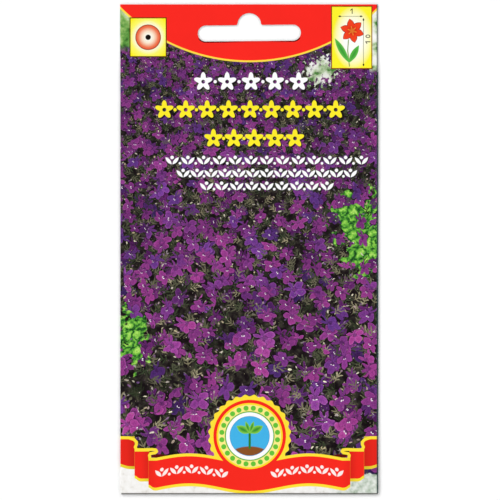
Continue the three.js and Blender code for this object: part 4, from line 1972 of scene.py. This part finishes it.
            # The slot's upright walls in the header take the cut edge's dark, which is partly painted
            # shade.
            if in_header and upright and abs(face.center.x) / MM < self.slot_reach:
                face.material_index = self.cut_edge
            if min(widths) < self.thinnest or max(widths) > 0.5:
                face.material_index = self.cut_edge
                for i, spot in enumerate(spots):
                    angle = math.tau * i / len(spots)
                    turned = Vector((math.cos(angle), math.sin(angle)))
                    spot.uv = Vector(self.edge_spot) + self.spot_radius * turned
            elif face.material_index > 1:
                for spot in spots:
                    spot.uv = Vector(spot.uv) * self.inner_share + Vector((self.map_margin,
                                                                           self.map_margin))

    def make(self) -> None:
        """Builds and dresses the envelope."""
        bare = BarePaper().material()
        hand_over(self.build(), "envelope",
                  [FrontPrint().material(), BackPrint().material(), bare, bare, CutEdge().material()])


@dataclass
class Sachet:
    """The inner sachet: two sheets of thin glazed paper with a crimped seal. Sizes are in millimetres."""

    seal: float = 6.0
    rise: float = 1.05
    film: float = 0.06
    cell: float = 0.75
    crimp_pitch: float = 1.5
    crimp: float = 0.03
    pucker: float = 0.05
    pucker_length: float = 4.0

    def sheet(self, name: str, node: str, risen: float) -> bpy.types.Object:
        """Models one of the two sheets.

        Args:
            name: the piece's name.
            node: the CAD node whose place it takes.
            risen: how high it rises over the seed.

        Returns:
            The sheet.
        """
        low, high = (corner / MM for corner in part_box(node))
        piece = sheet_of(name, spread(low.x, high.x, self.cell), spread(low.y, high.y, self.cell))
        middle = (low + high) / 2
        half = (high - low) / 2
        for vertex in piece.data.vertices:
            x, y = vertex.co.x / MM - middle.x, vertex.co.y / MM - middle.y
            across = max(1 - (x / (half.x - self.seal)) ** 2, 0.0)
            along = max(1 - (y / (half.y - self.seal)) ** 2, 0.0)
            inside = math.sqrt(across * along)
            level = risen * inside
            if risen:
                ridge = self.crimp * (1 + math.sin(math.tau * y / self.crimp_pitch)) / 2
                spot = Vector((x, y, 0.0)) / self.pucker_length
                level += ridge * (inside == 0) + self.pucker * abs(noise.noise(spot)) * min(inside * 3, 1)
            vertex.co.z = (low.z + self.film / 2 + level) * MM
        finish_with(piece, "SOLIDIFY", thickness=self.film * MM, offset=0.0)
        return piece

    def make(self) -> None:
        """Builds and dresses both sheets."""
        glazed = GlazedPaper().material()
        for name, node, risen in (("sachet_back_sheet", "sachet_back_film", 0.0),
                                  ("sachet_front_sheet", "sachet_front_film", self.rise)):
            hand_over(self.sheet(name, node, risen), node, [glazed])


@dataclass
class Seed:
    """The heap of dust-fine seed in the sachet. Sizes are in millimetres."""

    length: float = 0.62
    width: float = 0.4
    count: int = 2600
    rise: float = 0.65
    golden: float = math.pi * (3 - math.sqrt(5))
    stray: float = 0.035
    flatness: float = 0.85
    stride: tuple[float, float, float] = (0.37, 0.11, 0.0)

    def build(self) -> bpy.types.Object:
        """Models one seed and lays copies of it in a low oval heap.

        Returns:
            The heap.
        """
        low, high = (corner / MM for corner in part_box("seed_heap"))
        half = (high - low) / 2
        middle = (low + high) / 2
        bpy.ops.object.select_all(action="DESELECT")
        bpy.ops.mesh.primitive_ico_sphere_add(subdivisions=1, radius=self.width / 2 * MM)
        one = bpy.context.object
        with edited(one, "VERT") as mesh:
            for vertex in mesh.verts:
                vertex.select_set(True)
            bpy.ops.transform.resize(value=(self.length / self.width, 1.0, self.flatness))
        corners = [v.co.copy() for v in one.data.vertices]
        faces = [tuple(p.vertices) for p in one.data.polygons]
        bpy.data.objects.remove(one)
        points, sides = [], []
        noise.seed_set(self.count)
        margin = self.length / 2
        for i in range(self.count):
            stray = noise.random_vector()
            share = min(math.sqrt((i + 0.5) / self.count) + self.stray * stray.x, 1.0)
            turn = i * self.golden + self.stray * stray.y / max(share, self.stray)
            x, y = share * math.cos(turn), share * math.sin(turn)
            deep = noise.noise(Vector([i * step for step in self.stride])) * 0.5 + 0.5
            floor = low.z + self.width / 2
            top = max(self.rise * math.sqrt(1 - share * share) - self.width, 0.0)
            place = Vector((middle.x + x * (half.x - margin), middle.y + y * (half.y - margin),
                            floor + top * deep)) * MM
            spun = Matrix.Rotation(math.pi * stray.z, 3, "Z")
            start = len(points)
            points += [spun @ corner + place for corner in corners]
            sides += [tuple(start + k for k in face) for face in faces]
        mesh = bpy.data.meshes.new("seed")
        mesh.from_pydata(points, [], sides)
        heap = bpy.data.objects.new("seed", mesh)
        bpy.context.scene.collection.objects.link(heap)
        return heap

    def make(self) -> None:
        """Builds and dresses the heap."""
        hand_over(self.build(), "seed_heap", [SeedCoat().material()])


@dataclass
class GlueLines:
    """The dried glue that holds the packet shut. The CAD pieces stay, and get their finish."""

    nodes: tuple[str, ...] = ("side_seam_glue", "bottom_flap_glue", "header_glue_lower",
                              "header_glue_upper")

    def make(self) -> None:
        """Dresses the glue lines."""
        glue = DriedGlue().material()
        for name in self.nodes:
            mesh = frame["nodes"][name].data
            mesh.materials.clear()
            mesh.materials.append(glue)
            log.info("%s: dressed", name)


@dataclass
class Studio:
    """The pale floor, the soft light and the camera above the packet. Lengths are in metres."""

    floor_size: float = 6.0
    frame_height: float = 0.15515
    camera_height: float = 1.5
    camera_shift: tuple[float, float] = (0.0002, -0.0002)
    sensor: float = 36.0
    walls: float = 2.13
    tent: tuple = ((0.0, 0.05), (0.26, 0.05), (0.34, 1.0), (0.62, 1.0), (0.72, 0.1))
    floor_tone: float = 0.96
    window: tuple[float, float, float, float] = (1.05, 35.0, 135.0, 25.0)
    floor_rough: float = 0.9
    floor_shine: float = 0.1
    far: float = 20.0

    def build(self) -> None:
        """Lays the floor, hangs the lights and aims the camera."""
        scene = bpy.context.scene
        scene.view_settings.view_transform = "Standard"
        bpy.ops.object.select_all(action="DESELECT")
        bpy.ops.mesh.primitive_plane_add(size=self.floor_size)
        floor = bpy.context.object
        floor.name = "floor"
        white = bpy.data.materials.new("white board")
        white.use_nodes = True
        surface = white.node_tree.nodes["Principled BSDF"]
        surface.inputs["Base Color"].default_value = (*(self.floor_tone,) * 3, 1)
        surface.inputs["Roughness"].default_value = self.floor_rough
        surface.inputs["Specular IOR Level"].default_value = self.floor_shine
        floor.data.materials.append(white)

        world = bpy.data.worlds.new("pale room")
        scene.world = world
        world.use_nodes = True
        pen = Pen(world.node_tree)
        _, _, height = pen.split(pen.node("TexCoord").outputs["Generated"])
        tent = pen.ramp(height, *((place, (light,) * 4) for place, light in self.tent))
        pen.feed(world.node_tree.nodes["Background"].inputs["Color"], tent)
        world.node_tree.nodes["Background"].inputs["Strength"].default_value = self.walls
        self.sun("window", *self.window)

        lens = self.sensor * self.camera_height / self.frame_height
        bpy.ops.object.camera_add(location=(*self.camera_shift, self.camera_height))
        camera = bpy.context.object
        camera.data.sensor_width = self.sensor
        camera.data.lens = lens
        camera.data.clip_end = self.far
        scene.camera = camera

    def sun(self, name: str, strength: float, height: float, heading: float, soft: float) -> None:
        """Hangs one soft distant light.

        Args:
            name: the light's name.
            strength: how bright it is.
            height: how high it stands above the floor, in degrees.
            heading: which side it comes from, in degrees round from +X.
            soft: how wide it looks from the packet, in degrees.
        """
        tilt, turn = math.radians(90 - height), math.radians(heading + 90)
        bpy.ops.object.light_add(type="SUN", rotation=(tilt, 0, turn))
        light = bpy.context.object
        light.name = name
        light.data.energy = strength
        light.data.angle = math.radians(soft)


def main() -> None:
    """Builds the packet and its studio."""
    logging.basicConfig(level=logging.INFO, format="%(name)s: %(message)s")
    Studio().build()
    for assembly in (Envelope(), Sachet(), Seed(), GlueLines()):
        assembly.make()


if __name__ == "__main__":
    main()
